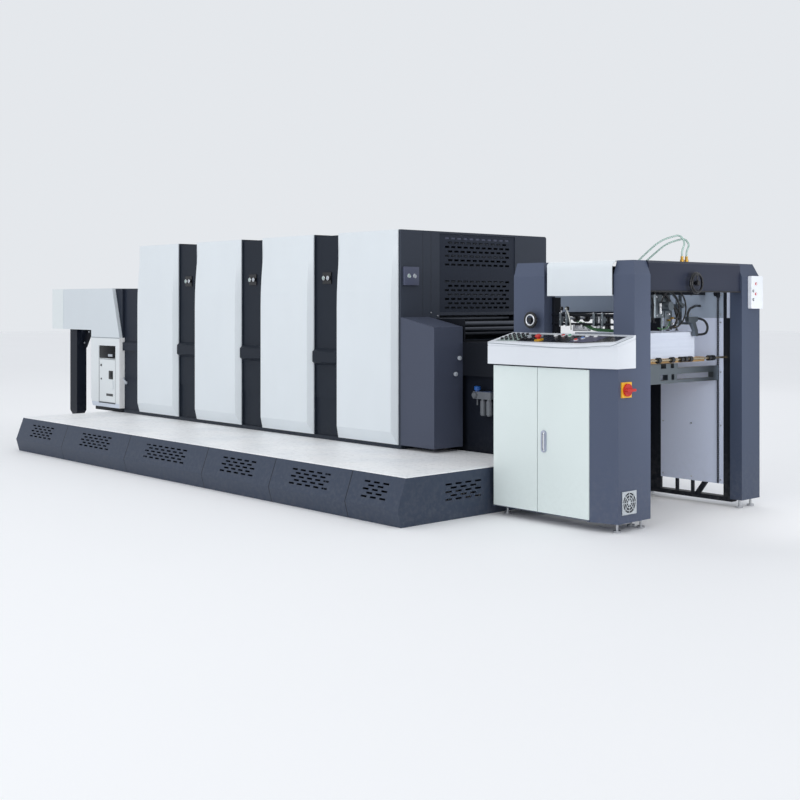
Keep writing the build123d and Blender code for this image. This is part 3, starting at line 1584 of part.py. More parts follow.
def sub_parts():
    """Every sub-part by name, in the working datum."""
    parts = {"base_frame": base_frame()}
    for i, right in enumerate(reversed(unit_rights), start=1):
        body = unit_body(right)
        parts[f"unit_{i}_body"] = body if i < unit_count else body - window_pocket()
        parts[f"unit_{i}_cover"] = unit_cover(right)
    covers = [unit_cover(right) for right in unit_rights]
    near, left, far, left_drive = feeder_columns()
    parts.update({
        "drive_side_covers": group(*[mirrored(cover) for cover in covers]),
        "roof_lids": group(*[unit_lid(right) for right in unit_rights]),
        "between_sections": group(*[between_section(right) for right in unit_rights[1:]]),
        "delivery_link_section": link_section(),
        "unit_end_frame": end_frame(),
        "slotted_guard": slotted_guard(),
        "rollers": group(*window_rollers(), *feed_rollers()),
        "side_housing": side_housing(),
        "step_skirt": step_skirt(),
        "step_frames": group(*step_frames()),
        "step_tread": step_tread(),
        "feed_table": feed_table(),
        "lower_panels": group(*lower_panels()),
        "air_regulator": air_regulator() + regulator_knob(),
        "operator_columns": group(near, left),
        "drive_columns": group(far, left_drive),
        "feeder_end_header": end_header(),
        "feeder_side_cover": side_cover(),
        "feeder_beams": group(*feeder_beams(), *chain_wheels()),
        "drive_panel_lower": drive_panel((panel_low, panel_high)),
        "drive_panel_upper": drive_panel((panel_high, header_low)),
        "lift_chains": group(*lift_chains()),
        "lift_bars": lift_bars(),
        "pile_board": pile_board(),
        "paper_pile": paper_pile(),
        "stop_rod": stop_rod(),
        "suction_head": group(*suction_head()),
        "suction_hoses": group(*suction_hoses(), *sucker_cups()),
        "hose_fittings": group(*hose_fittings()),
        "air_hoses": group(*air_hoses()),
        "console_cabinet": console_cabinet(),
        "console_door_left": console_door(hinge_xs[0], door_split() - door_gap / 2),
        "console_door_right": console_door(hinge_xs[1], door_split() + door_gap / 2) + door_handle(),
        "console_desk": console_desk(),
        "desk_keypad": desk_keypad(),
        "desk_buttons": group(*desk_buttons()),
        "stop_button": stop_button_base() + stop_button(),
        "switch_plate": switch_plate(),
        "switch_handle": switch_handle(),
        "fan_grille": fan_grille(),
        "levelling_feet": group(*levelling_feet()),
        "control_box": control_box(),
        "delivery_hood": delivery_hood(),
        "delivery_cap": delivery_cap(),
        "delivery_frame": group(*delivery_frame()),
        "delivery_cabinet": delivery_cabinet(),
        "cabinet_door": cabinet_door(),
        "button_stations": group(*button_stations(), end_station()),
    })
    wheels = {"column_handwheel": (column_wheel_radius, column_wheel_rim, column_wheel_reach, wheel_spokes),
              "header_handwheel": (header_wheel_radius, header_wheel_rim, header_wheel_reach, 1)}
    for name, (place, axis) in wheel_places().items():
        parts[name] = handwheel(place, axis, *wheels[name])
    return parts


def middle_of(parts):
    """The move that brings the middle of the floor area to the origin."""
    boxes = [shape.bounding_box() for shape in parts.values()]
    low = [min(getattr(box.min, axis) for box in boxes) for axis in "XY"]
    high = [max(getattr(box.max, axis) for box in boxes) for axis in "XY"]
    return [-(a + b) / 2 for a, b in zip(low, high)]


if __name__ == "__main__":
    os.makedirs("parts", exist_ok=True)
    parts = sub_parts()
    move = Pos(*middle_of(parts), 0)
    for name, shape in parts.items():
        export_step(move * shape, f"parts/{name}.step")
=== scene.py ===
import math

import bmesh
import bpy
import numpy as np
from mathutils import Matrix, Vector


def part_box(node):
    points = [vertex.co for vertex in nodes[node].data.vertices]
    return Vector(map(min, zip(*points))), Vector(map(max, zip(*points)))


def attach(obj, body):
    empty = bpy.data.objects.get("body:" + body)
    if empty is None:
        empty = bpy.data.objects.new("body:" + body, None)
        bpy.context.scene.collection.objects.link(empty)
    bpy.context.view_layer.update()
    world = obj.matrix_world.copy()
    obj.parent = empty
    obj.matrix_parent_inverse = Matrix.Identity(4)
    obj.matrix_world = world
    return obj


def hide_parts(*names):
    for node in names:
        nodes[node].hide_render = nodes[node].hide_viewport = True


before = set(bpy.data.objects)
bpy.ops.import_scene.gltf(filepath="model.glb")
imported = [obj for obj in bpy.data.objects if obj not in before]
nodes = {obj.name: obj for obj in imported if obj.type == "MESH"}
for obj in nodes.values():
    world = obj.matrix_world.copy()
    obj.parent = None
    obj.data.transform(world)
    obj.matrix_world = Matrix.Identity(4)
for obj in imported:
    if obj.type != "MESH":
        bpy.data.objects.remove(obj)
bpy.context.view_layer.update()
rng = np.random.default_rng(27)

# Camera, light and floor

view = {
    "eye": (8.2159, -6.2695, 1.3725),
    "turn": 47.85,              # degrees from looking along +Y, towards -X
    "lens": 55.0,
    "sensor": 36.0,
    "shift": -0.1225,           # level camera, so uprights stay upright
}
studio = {
    "skyTone": (0.93, 0.96, 1.0),
    "skyStrength": 0.84,
    "floorTone": (252, 252, 253),
    "floorSize": 90.0,
    "narrow": {"feederLight": 95.0},    # degrees of spread, so it stays off the floor
    # place, aim, size and watts of each soft light
    "lamps": {
        "frontLight": ((3.5, -11.0, 5.5), (0.5, 0.0, 1.0), 6.0, 170.0),
        "endLight": ((11.5, -1.0, 4.5), (3.0, 0.0, 0.9), 4.5, 30.0),
        "topLight": ((0.0, -1.5, 8.0), (0.0, 0.0, 0.0), 7.0, 60.0),
        "backLight": ((-6.0, 8.5, 5.0), (0.0, 0.0, 1.0), 6.0, 60.0),
        "feederLight": ((5.2, 0.1, 1.2), (3.3, 0.95, 0.7), 1.2, 6.0),
    },
}


def srgb(tone, share=1.0):
    # a screen colour, 0 to 255, as the linear colour that shaders take, times a share
    level = np.array(tone) / 255
    linear = np.where(level <= 0.04045, level / 12.92, ((level + 0.055) / 1.055) ** 2.4)
    return (*np.minimum(1.0, linear * share).tolist(), 1.0)


def makeCamera():
    data = bpy.data.cameras.new("photoView")
    data.lens = view["lens"]
    data.sensor_width = view["sensor"]
    data.shift_y = view["shift"]
    camera = bpy.data.objects.new("photoView", data)
    camera.location = view["eye"]
    camera.rotation_euler = (math.radians(90), 0, math.radians(view["turn"]))
    bpy.context.scene.collection.objects.link(camera)
    bpy.context.scene.camera = camera


def makeStudio():
    scene = bpy.context.scene
    scene.view_settings.view_transform = "Standard"
    world = bpy.data.worlds.new("studioSky")
    scene.world = world
    world.use_nodes = True
    sky = world.node_tree.nodes["Background"]
    sky.inputs["Color"].default_value = (*studio["skyTone"], 1.0)
    sky.inputs["Strength"].default_value = studio["skyStrength"]
    for name, (place, aim, size, watts) in studio["lamps"].items():
        data = bpy.data.lights.new(name, "AREA")
        data.shape = "DISK"
        data.size = size
        data.energy = watts
        if name in studio["narrow"]:
            data.spread = math.radians(studio["narrow"][name])
        lamp = bpy.data.objects.new(name, data)
        lamp.location = place
        along = Vector(aim) - Vector(place)
        lamp.rotation_euler = along.to_track_quat("-Z", "Y").to_euler()
        lamp.visible_camera = False
        scene.collection.objects.link(lamp)


# Shader maths

class Signal:  # one output of a shader node; + - * / ** on signals and numbers add Math nodes
    def __init__(self, tree, socket):
        self.tree = tree
        self.socket = socket

    def calc(self, operation, *others):
        made = self.tree.nodes.new("ShaderNodeMath")
        made.operation = operation
        for slot, value in zip(made.inputs, (self, *others)):
            if isinstance(value, Signal):
                self.tree.links.new(value.socket, slot)
            else:
                slot.default_value = value
        return Signal(self.tree, made.outputs[0])

    def __add__(self, other):
        return self.calc("ADD", other)

    def __sub__(self, other):
        return self.calc("SUBTRACT", other)

    def __mul__(self, other):
        return self.calc("MULTIPLY", other)

    def __truediv__(self, other):
        return self.calc("DIVIDE", other)

    def __pow__(self, other):
        return self.calc("POWER", other)

    def __rsub__(self, other):
        return self.calc("MULTIPLY", -1.0).calc("ADD", other)

    def __abs__(self):
        return self.calc("ABSOLUTE")

    __radd__ = __add__
    __rmul__ = __mul__


class Finish:  # a material being built; node() is the one way in for every node that isn't maths
    def __init__(self, name, **fixed):
        self.material = bpy.data.materials.new(name)
        self.material.use_nodes = True
        self.tree = self.material.node_tree
        self.tree.nodes.clear()
        self.shader = self.tree.nodes.new("ShaderNodeBsdfPrincipled")
        output = self.tree.nodes.new("ShaderNodeOutputMaterial")
        self.tree.links.new(self.shader.outputs[0], output.inputs["Surface"])
        for key, value in fixed.items():
            self.shader.inputs[key.replace("_", " ")].default_value = value
        self.where = self.node("TexCoord", out="Object")
        parts = self.tree.nodes.new("ShaderNodeSeparateXYZ")
        self.tree.links.new(self.where.socket, parts.inputs[0])
        self.x, self.y, self.z = [Signal(self.tree, out) for out in parts.outputs]

    def node(self, kind, settings=None, inputs=None, out=0):
        made = self.tree.nodes.new("ShaderNode" + kind)
        for key, value in (settings or {}).items():
            setattr(made, key, value)
        for key, value in (inputs or {}).items():
            if isinstance(value, Signal):
                self.tree.links.new(value.socket, made.inputs[key])
            else:
                made.inputs[key].default_value = value
        return Signal(self.tree, made.outputs[out])

    def noise(self, scale, detail=2.0, stretch=(1, 1, 1)):
        # smooth random value, 0 to 1, with cells of 1/scale metres; stretch squeezes an axis
        where = self.node("Mapping", inputs={"Vector": self.where, "Scale": stretch})
        return self.node("TexNoise", inputs={"Vector": where, "Scale": scale, "Detail": detail})

    def ramp(self, value, low, high):
        # 0 below low, 1 above high, smooth between
        return self.node("MapRange", {"interpolation_type": "SMOOTHSTEP", "clamp": True},
                         {"Value": value, "From Min": low, "From Max": high})

    def band(self, value, low, high, soft):
        # 1 between low and high, falling to 0 over the soft width outside
        return self.ramp(value, low - soft, low) * (1 - self.ramp(value, high, high + soft))

    def mix(self, factor, first, second):
        return self.node("Mix", {"data_type": "RGBA"}, {0: factor, 6: first, 7: second}, out=2)

    def feed(self, **links):
        for key, value in links.items():
            self.tree.links.new(value.socket, self.shader.inputs[key.replace("_", " ")])

    def layOver(self, factor, tone):
        # another tone over the base colour that is fed already
        base = Signal(self.tree, self.shader.inputs["Base Color"].links[0].from_socket)
        self.feed(Base_Color=self.mix(factor, base, srgb(tone)))

    def bump(self, height, distance):
        self.feed(Normal=self.node("Bump", inputs={"Height": height, "Distance": distance}))


# Finishes

paint = {
    "peel": 420.0,             # cells a metre of the sprayed skin
    "peelDepth": 0.00012,
    "toneSpread": 0.05,
    "dustHeight": 0.55,        # dust gathers below this height
    "dustTone": (150, 150, 148),
    "seamTone": (16, 18, 24),
    "seamDepth": 0.003,
}


def sprayed(name, tone, roughness, dust=0.1, coat=0.08, shine=0.5):
    # sprayed machine paint: cloudy tone, orange-peel skin, a little dust low down
    finish = Finish(name + "Paint", Coat_Roughness=0.12, IOR=1.5, Specular_IOR_Level=shine)
    clouds = finish.noise(1.7, 3.0)
    streaks = finish.noise(6.0, 4.0, (1, 1, 0.25))
    dark, light = srgb(tone, 1 - paint["toneSpread"]), srgb(tone, 1 + paint["toneSpread"])
    colour = finish.mix(clouds * 0.6 + streaks * 0.4, dark, light)
    low = 1 - finish.ramp(finish.z, 0.0, paint["dustHeight"])
    dusty = low * finish.ramp(finish.noise(38.0, 5.0), 0.35, 0.8) * dust
    finish.feed(Base_Color=finish.mix(dusty, colour, srgb(paint["dustTone"])),
                Roughness=streaks * 0.1 + (roughness - 0.05) + dusty,
                Coat_Weight=clouds * coat * 1.5 + coat)
    finish.bump(finish.noise(paint["peel"], 2.0), paint["peelDepth"])
    return finish


def metal(name, tone, roughness, grain=(1, 1, 40), scale=60.0):
    # bare metal with a drawn grain along one axis and faint cloudy staining
    finish = Finish(name + "Metal", IOR=2.2)
    lines = finish.noise(scale, 3.0, grain)
    stain = finish.noise(9.0, 4.0)
    finish.feed(Base_Color=finish.mix(lines * 0.6 + stain * 0.4, srgb(tone, 0.82), srgb(tone, 1.12)),
                Metallic=1 - stain * 0.08, Roughness=lines * 0.14 + (roughness - 0.07))
    finish.bump(lines, 0.00015)
    return finish


def moulded(name, tone, roughness, pebble=900.0, depth=0.00008, shine=0.5):
    # moulded plastic or rubber: fine pebble skin, slightly uneven gloss
    finish = Finish(name + "Moulding", IOR=1.47, Specular_IOR_Level=shine)
    patch = finish.noise(22.0, 3.0)
    finish.feed(Base_Color=finish.mix(patch, srgb(tone, 0.88), srgb(tone, 1.14)),
                Roughness=patch * 0.12 + (roughness - 0.06))
    finish.bump(finish.noise(pebble, 2.0), depth)
    return finish


# tone and roughness, then where they differ from the usual: dust, coat and shine
paints = {
    "cover": ((226, 232, 236), 0.34, 0.05),
    "door": ((226, 236, 234), 0.36, 0.06),
    "desk": ((226, 230, 236), 0.34, 0.0),
    "hood": ((214, 221, 226), 0.38, 0.0),
    "cap": ((228, 234, 235), 0.36, 0.0),
    "cabinet": ((226, 231, 233), 0.38, 0.0),
    "dark": ((80, 89, 110), 0.42, 0.1, 0.02, 0.22),
    "header": ((42, 47, 63), 0.42, 0.1, 0.02, 0.22),
    "farColumn": ((64, 73, 92), 0.42, 0.1, 0.02, 0.22),
    "housing": ((74, 80, 97), 0.42, 0.1, 0.02, 0.22),
    "skirt": ((60, 69, 86), 0.44, 0.1, 0.02, 0.2),
    "flank": ((38, 45, 56), 0.45, 0.1, 0.02, 0.2),
    "deep": ((57, 63, 75), 0.45, 0.1, 0.02, 0.22),
    "guard": ((45, 51, 64), 0.5, 0.1, 0.0, 0.16),
    "endPlate": ((84, 89, 110), 0.42, 0.0, 0.02, 0.3),
    "post": ((26, 31, 42), 0.45, 0.1, 0.01, 0.14),
    # painted shade: the ledges between sections get a darker tone than the other dark paint, for the shade of
    # their recess
    "recessShadedLedge": ((34, 40, 50), 0.45, 0.1, 0.01, 0.14),
    "link": ((38, 44, 56), 0.45, 0.1, 0.01, 0.14),
    "pit": ((27, 30, 37), 0.5, 0.1, 0.0, 0.14),
    "lower": ((28, 32, 42), 0.5, 0.1, 0.01, 0.14),
    # painted light: this panel is lighter than its paint, to make up for the light it misses in the portal's
    # shade
    "panel": ((208, 216, 236), 0.4),
    "upperPanel": ((150, 162, 179), 0.4),
}
# tone and roughness, then the grain's stretch and scale
metals = {
    "rollerSteel": ((84, 88, 96), 0.4),
    "handlePlate": ((182, 188, 206), 0.34, (1, 1, 6), 120.0),
    "steel": ((188, 190, 194), 0.28),
    "bar": ((112, 120, 126), 0.42, (1, 30, 1)),
    "brass": ((190, 150, 70), 0.3, (1, 1, 1), 200.0),
    "grille": ((206, 212, 216), 0.34, (1, 20, 1)),
    "chain": ((92, 94, 100), 0.4, (1, 1, 1), 300.0),
    "chrome": ((226, 228, 232), 0.14, (1, 1, 6), 80.0),
    "silver": ((206, 208, 212), 0.36, (1, 1, 1), 240.0),
    "paleMetal": ((214, 216, 210), 0.4, (1, 1, 6), 120.0),
}
# tone and roughness, then pebbles a metre, their depth, and shine
mouldings = {
    "rubber": ((26, 27, 30), 0.5),
    "black": ((24, 25, 29), 0.28),
    "red": ((196, 40, 36), 0.26),
    "yellow": ((238, 178, 44), 0.3),
    "keyBlack": ((22, 24, 28), 0.4),
    "paleGreen": ((168, 186, 182), 0.4),
    "paleGrey": ((176, 182, 190), 0.36),
    "white": ((226, 228, 230), 0.32),
    "green": ((70, 170, 128), 0.28),
    "blue": ((92, 128, 190), 0.28),
    "displayGlass": ((72, 72, 96), 0.3, 200.0, 0.00002, 0.25),
    "darkGlass": ((14, 16, 19), 0.12, 60.0, 0.00002, 0.12),
    "fan": ((74, 78, 84), 0.4),
    "hoseGreen": ((62, 104, 68), 0.34),
    "gasket": ((150, 158, 164), 0.5),
    "gasketDark": ((70, 76, 82), 0.5),
}
# upright joints: axis, places along it, width and strength
seams = {
    "skirt": ("x", (-1.643, -0.563, 0.568, 1.405, 2.225), 0.004, 1.0),
    "deep": ("y", (-0.1045, -0.0215), 0.0028, 0.55),
}
# painted shade and light on the cabinet: a darker bluish band up to top for a bevel's shade, white over the
# right side past sideX
cabinetPaintedShadeAndLight = {"top": 0.388, "tone": (205, 213, 226), "sideX": -2.3352, "paintedSideLightTone": (255, 255, 255)}


def addSeams(finish, axis, places, width, strength):
    line = 0
    for place in places:
        seam = finish.band(getattr(finish, axis), place - width / 2, place + width / 2, width / 3)
        line = seam * strength + line
    finish.layOver(line, paint["seamTone"])
    finish.bump(finish.noise(paint["peel"], 2.0) * 0.02 - line, paint["seamDepth"])


def paintCabinetShadeAndLight(finish):
    # painted shade: a darker bluish band near the foot, for the shade of a bevel there; painted light: a
    # white right side, lit like the front
    top, side = cabinetPaintedShadeAndLight["top"], cabinetPaintedShadeAndLight["sideX"]
    # painted shade: a darker bluish band along the foot, for the shade a bevel takes there
    finish.layOver(1 - finish.ramp(finish.z, top - 0.004, top + 0.004), cabinetPaintedShadeAndLight["tone"])
    # painted light: white laid over the cabinet's right side past sideX, so that side reads as lit as the
    # front
    finish.layOver(finish.ramp(finish.x, side - 0.0004, side + 0.0004), cabinetPaintedShadeAndLight["paintedSideLightTone"])


tread = {"pitch": 0.052, "rise": 0.0014, "half": (0.4, 0.13), "tone": (255, 255, 255),
         "wornTone": (243, 245, 247), "grimeTone": (140, 142, 146)}


def chequered():
    # bright sheet with a raised lozenge in each cell of two diagonal rulings, turned by turns
    finish = Finish("treadSheet", IOR=1.6)
    pitch, (halfLong, halfShort) = tread["pitch"], tread["half"]
    along, across = (finish.x + finish.y) / pitch, (finish.x - finish.y) / pitch
    cellA = along - along.calc("FLOOR") - 0.5
    cellB = across - across.calc("FLOOR") - 0.5
    turn = (along.calc("FLOOR") + across.calc("FLOOR")).calc("FLOORED_MODULO", 2.0)
    long = cellA * turn + cellB * (1 - turn)
    short = cellB * turn + cellA * (1 - turn)
    lozenge = 1 - finish.ramp(abs(long) / halfLong + abs(short) / halfShort, 0.7, 1.0)
    wear = finish.ramp(finish.noise(3.0, 5.0), 0.35, 0.75)
    grime = finish.noise(30.0, 5.0)
    colour = finish.mix(wear, srgb(tread["tone"]), srgb(tread["wornTone"]))
    dirt = (1 - lozenge) * finish.ramp(grime, 0.45, 0.8) * 0.25
    finish.feed(Base_Color=finish.mix(dirt, colour, srgb(tread["grimeTone"])),
                Metallic=lozenge * 0.06 + 0.04, Roughness=0.42 - lozenge * 0.12 + grime * 0.1)
    finish.bump(lozenge, tread["rise"])
    return finish


board = {"slat": 0.11, "light": (206, 172, 122), "dark": (150, 112, 68), "jointTone": (60, 42, 26)}


def boardWood():
    # planed softwood slats along Y with grain lines and a dark joint between slats
    finish = Finish("boardWood", IOR=1.45)
    grain = finish.noise(14.0, 6.0, (6.0, 0.7, 6.0))
    pores = finish.noise(120.0, 4.0, (3.0, 0.3, 3.0))
    share = finish.x / board["slat"]
    joint = 1 - finish.ramp(abs(share - share.calc("ROUND")), 0.008, 0.02)
    colour = finish.mix(grain * 0.75 + pores * 0.25, srgb(board["dark"]), srgb(board["light"]))
    finish.feed(Base_Color=finish.mix(joint, colour, srgb(board["jointTone"])), Roughness=pores * 0.2 + 0.55)
    finish.bump(grain * 0.3 + pores * 0.1 - joint, 0.0012)
    return finish


def sheetEdges():
    # a stack of cut sheets: hair lines along Z on its sides, a faint cast on top
    finish = Finish("paperStack", IOR=1.4)
    lines = finish.noise(60.0, 3.0, (0.25, 0.25, 30.0))
    packs = finish.noise(7.0, 2.0, (0.2, 0.2, 6.0))
    colour = finish.mix(lines * 0.6 + packs * 0.4, srgb((176, 184, 202)), srgb((228, 234, 245)))
    finish.feed(Base_Color=colour, Roughness=lines * 0.1 + 0.72)
    finish.bump(lines, 0.0009)
    return finish


def clearTube():
    # pale greenish clear hose
    finish = Finish("clearTube", IOR=1.42, Transmission_Weight=0.45)
    patch = finish.noise(30.0, 3.0)
    finish.feed(Base_Color=finish.mix(patch, srgb((176, 205, 196)), srgb((214, 232, 226))),
                Roughness=patch * 0.1 + 0.12)
    return finish


def twoTone(name, first, second, mask, roughness=0.32, metallic=(0.0, 0.0)):
    # two finishes on one node, told apart by a mask that the caller draws from the place
    finish = Finish(name, IOR=1.5)
    patch = finish.noise(40.0, 3.0)
    share = mask(finish)
    lit, shade = [finish.mix(share, srgb(first, level), srgb(second, level)) for level in (1.0, 0.8)]
    finish.feed(Base_Color=finish.mix(patch, shade, lit), Roughness=patch * 0.12 + (roughness - 0.06),
                Metallic=share * (metallic[1] - metallic[0]) + metallic[0])
    finish.bump(finish.noise(800.0, 2.0), 0.00006)
    return finish


masks = {
    "knobBelow": (0.037, 0.035),        # the regulator's blue knob, measured down from its top
    "rodRadius": (0.0074, 0.0078),      # the rod's stops are thicker than this
    "headSlope": 0.238,                 # the red head of the emergency stop leans with the desk
    "headRise": (0.009, 0.0095),
}


def makeFinishes():
    made = {name: sprayed(name, *row) for name, row in paints.items()}
    made |= {name: metal(name, *row) for name, row in metals.items()}
    made |= {name: moulded(name, *row) for name, row in mouldings.items()}
    for name, row in seams.items():
        addSeams(made[name], *row)
    paintCabinetShadeAndLight(made["cabinet"])
    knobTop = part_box("air_regulator")[1].z
    rodLow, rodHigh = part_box("stop_rod")
    rodX, rodZ = (rodLow.x + rodHigh.x) / 2, (rodLow.z + rodHigh.z) / 2
    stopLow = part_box("stop_button")[0]

    def knob(finish):
        return finish.ramp(finish.z, *(knobTop - below for below in masks["knobBelow"]))

    def bareRod(finish):
        # within the bare rod's radius, measured from the rod's axis
        away = ((finish.x - rodX) ** 2.0 + (finish.z - rodZ) ** 2.0).calc("SQRT")
        return 1 - finish.ramp(away, *masks["rodRadius"])

    def redHead(finish):
        height = finish.z - (finish.y - stopLow.y) * masks["headSlope"]
        return finish.ramp(height, *(stopLow.z + rise for rise in masks["headRise"]))

    made |= {"tread": chequered(), "wood": boardWood(), "paper": sheetEdges(), "clear": clearTube()}
    made["regulator"] = twoTone("regulatorBody", (112, 116, 122), (34, 92, 168), knob)
    made["rod"] = twoTone("rodAndStops", (22, 23, 26), (190, 176, 150), bareRod, 0.26, (0.0, 0.9))
    made["stop"] = twoTone("stopButton", (226, 176, 46), (196, 38, 34), redHead)
    return made


nodeFinishes = {
    "cover": "unit_1_cover unit_2_cover unit_3_cover unit_4_cover "
             "drive_side_covers roof_lids feeder_side_cover",
    "door": "console_door_left console_door_right",
    "desk": "console_desk control_box",
    "hood": "delivery_hood",
    "cap": "delivery_cap",
    "cabinet": "delivery_cabinet cabinet_door",
    "dark": "operator_columns console_cabinet",
    "header": "feeder_end_header",
    "farColumn": "drive_columns",
    "housing": "side_housing",
    "skirt": "step_skirt step_frames",
    "flank": "base_frame unit_1_body unit_2_body unit_3_body unit_4_body",
    "deep": "unit_end_frame",
    "lower": "lower_panels",
    "recessShadedLedge": "between_sections",
    "post": "delivery_frame",
    "link": "delivery_link_section",
    "pit": "feed_table feeder_beams",
    "guard": "slotted_guard",
    "panel": "drive_panel_lower",
    "upperPanel": "drive_panel_upper",
    "tread": "step_tread",
    "steel": "lift_chains levelling_feet",
    "rollerSteel": "rollers",
    "bar": "lift_bars suction_head",
    "brass": "hose_fittings",
    "rubber": "suction_hoses",
    "black": "desk_keypad desk_buttons button_stations column_handwheel header_handwheel",
    "red": "switch_handle",
    "yellow": "switch_plate",
    "wood": "pile_board",
    "paper": "paper_pile",
    "clear": "air_hoses",
    "regulator": "air_regulator",
    "rod": "stop_rod",
    "stop": "stop_button",
    "grille": "fan_grille",
}


def dressNodes():
    for kind, names in nodeFinishes.items():
        for name in names.split():
            mesh = nodes[name].data
            mesh.materials.clear()
            mesh.materials.append(finishes[kind].material)
            mesh.update()


def makeFloor():
    half = studio["floorSize"] / 2
    mesh = bpy.data.meshes.new("studioFloor")
    mesh.from_pydata([(-half, -half, 0), (half, -half, 0), (half, half, 0), (-half, half, 0)], [],
                     [(0, 1, 2, 3)])
    floor = bpy.data.objects.new("studioFloor", mesh)
    bpy.context.scene.collection.objects.link(floor)
    finish = Finish("studioFloor", Roughness=0.7)
    tone = studio["floorTone"]
    finish.feed(Base_Color=finish.mix(finish.noise(0.4, 2.0), srgb(tone, 0.97), srgb(tone)))
    mesh.materials.append(finish.material)


# Shapes: each is (points, faces), worked out on a grid

def skin(rings, closed=False):
    # quads between neighbouring points of a grid whose rows are rings; closed joins last row to first
    rows, columns = rings.shape[:2]
    row, column = np.meshgrid(np.arange(rows if closed else rows - 1), np.arange(columns), indexing="ij")
    row, column = row.ravel(), column.ravel()
    nextRow, nextColumn = (row + 1) % rows, (column + 1) % columns
    faces = np.stack([row * columns + column, row * columns + nextColumn,
                      nextRow * columns + nextColumn, nextRow * columns + column], axis=1)
    return rings.reshape(-1, 3), faces


def capped(rings):
    # the skin of a row of rings, each end closed by a fan from the middle of its ring
    middles = rings[[0, -1]].mean(axis=1, keepdims=True).repeat(rings.shape[1], axis=1)
    return skin(np.concatenate([middles[:1], rings, middles[1:]]))


def headings(curve):
    # the direction of a curve at each of its points
    along = np.gradient(curve, axis=0)
    return along / np.linalg.norm(along, axis=1, keepdims=True)


def squareTo(axis):
    # the axis at length 1, and two directions square to it and to each other
    axis = np.array(axis, float) / np.linalg.norm(axis)
    helper = (0.0, 0.0, 1.0) if abs(axis[2]) < 0.9 else (1.0, 0.0, 0.0)
    first = np.cross(helper, axis)
    first /= np.linalg.norm(first)
    return axis, first, np.cross(axis, first)


def turned(start, axis, stations, sides=24, closed=False):
    # point(station, angle) = start + axis * distance + radius * (first * cos angle + second * sin angle);
    # a station is (distance, radius), and radius 0 closes an end
    axis, first, second = squareTo(axis)
    distance, radius = np.array(stations, float).T[:, :, None, None]
    angle = np.linspace(0, 2 * math.pi, sides, endpoint=False)[None, :, None]
    return skin(np.array(start) + axis * distance + radius * (np.cos(angle) * first + np.sin(angle) * second),
                closed)


def rod(start, axis, radius, length, sides):
    return turned(start, axis, [(0, 0), (0, radius), (length, radius), (length, 0)], sides)


def hoop(centre, axis, radius, thick, around, sides, flat=1.0):
    # a round bar bent to a circle; flat squeezes the bar along its axis
    angle = np.linspace(0, 2 * math.pi, sides, endpoint=False)
    bar = np.column_stack([thick * flat * np.sin(angle), radius + thick * np.cos(angle)])
    return turned(centre, axis, bar, around, True)


def carried(curve, radius, first, second, sides):
    # a circle carried along a curve; first and second are square to the curve at t:
    # point(t, angle) = curve(t) + radius * (first(t) * cos angle + second(t) * sin angle)
    angle = np.linspace(0, 2 * math.pi, sides, endpoint=False)[None, :, None]
    outward = np.cos(angle) * first[:, None] + np.sin(angle) * second[:, None]
    return capped(curve[:, None] + radius * outward)


def tube(path, radius, sides=10, steps=6):
    # between two points the curve is the cubic whose slope at each is half the way from the point
    # before it to the point after it
    path = np.array(path, float)
    grown = np.vstack([2 * path[0] - path[1], path, 2 * path[-1] - path[-2]])
    before, start, end, after = grown[:-3], grown[1:-2], grown[2:-1], grown[3:]
    t = np.linspace(0, 1, steps, endpoint=False)[:, None, None]
    curve = 0.5 * (2 * start + (end - before) * t + (2 * before - 5 * start + 4 * end - after) * t ** 2
                   + (3 * start - before - 3 * end + after) * t ** 3)
    curve = np.vstack([curve.transpose(1, 0, 2).reshape(-1, 3), path[-1]])
    along = headings(curve)
    # the small numbers keep the helper from vanishing on a straight path
    helper = squareTo(np.cross(along[0], along[len(along) // 2]) + np.array([1e-4, 2e-4, 3e-4]))[0]
    first = np.cross(helper, along)
    first /= np.linalg.norm(first, axis=1, keepdims=True)
    return carried(curve, radius, first, np.cross(along, first), sides)


def coil(start, axis, length, radius, wire, turns):
    # curve(t) = start + axis * length * t + radius * (cos, sin)(turns * t)
    axis, first, second = squareTo(axis)
    t = np.linspace(0, 1, int(turns * 14))[:, None]
    turn = 2 * math.pi * turns * t
    outward = np.cos(turn) * first + np.sin(turn) * second
    curve = np.array(start) + axis * length * t + radius * outward
    return carried(curve, wire, outward, np.cross(headings(curve), outward), 6)


def block(centre, half, radius, axes=((1, 0, 0), (0, 1, 0), (0, 0, 1)), steps=3):
    # a ball cut in eight, its eighths pushed apart to the corners:
    # point = centre + sign * (half - radius) + radius * direction, along the three axes
    quarter = np.linspace(0, math.pi / 2, steps + 1)
    turn = np.concatenate([quarter + k * math.pi / 2 for k in range(4)])[None, :]
    tilt = np.concatenate([quarter, quarter + math.pi / 2])[:, None]
    flat = np.ones_like(tilt + turn)
    direction = np.stack([np.sin(tilt) * np.cos(turn), np.sin(tilt) * np.sin(turn), np.cos(tilt) * flat],
                         axis=2)
    turnSign = np.repeat([[1, 1], [-1, 1], [-1, -1], [1, -1]], steps + 1, axis=0)
    tiltSign = np.repeat([1, -1], steps + 1)[:, None]
    sign = np.stack([turnSign[:, 0] * flat, turnSign[:, 1] * flat, tiltSign * flat], axis=2)
    local = sign * (np.array(half, float) - radius) + radius * direction
    local = np.concatenate([local[:1] * (0, 0, 1), local, local[-1:] * (0, 0, 1)])
    return skin(np.array(centre) + local @ np.array(axes, float))


def prism(outline, thickness):
    # an outline carried along one vector
    outline = np.array(outline, float)
    return capped(np.stack([outline, outline + np.array(thickness, float)]))


def copies(shape, offsets):
    # the same shape at each offset
    points, faces = shape
    offsets = np.array(offsets, float).reshape(-1, 1, 3)
    shift = np.arange(len(offsets)).reshape(-1, 1, 1) * len(points)
    return (points[None] + offsets).reshape(-1, 3), (faces[None] + shift).reshape(-1, 4)


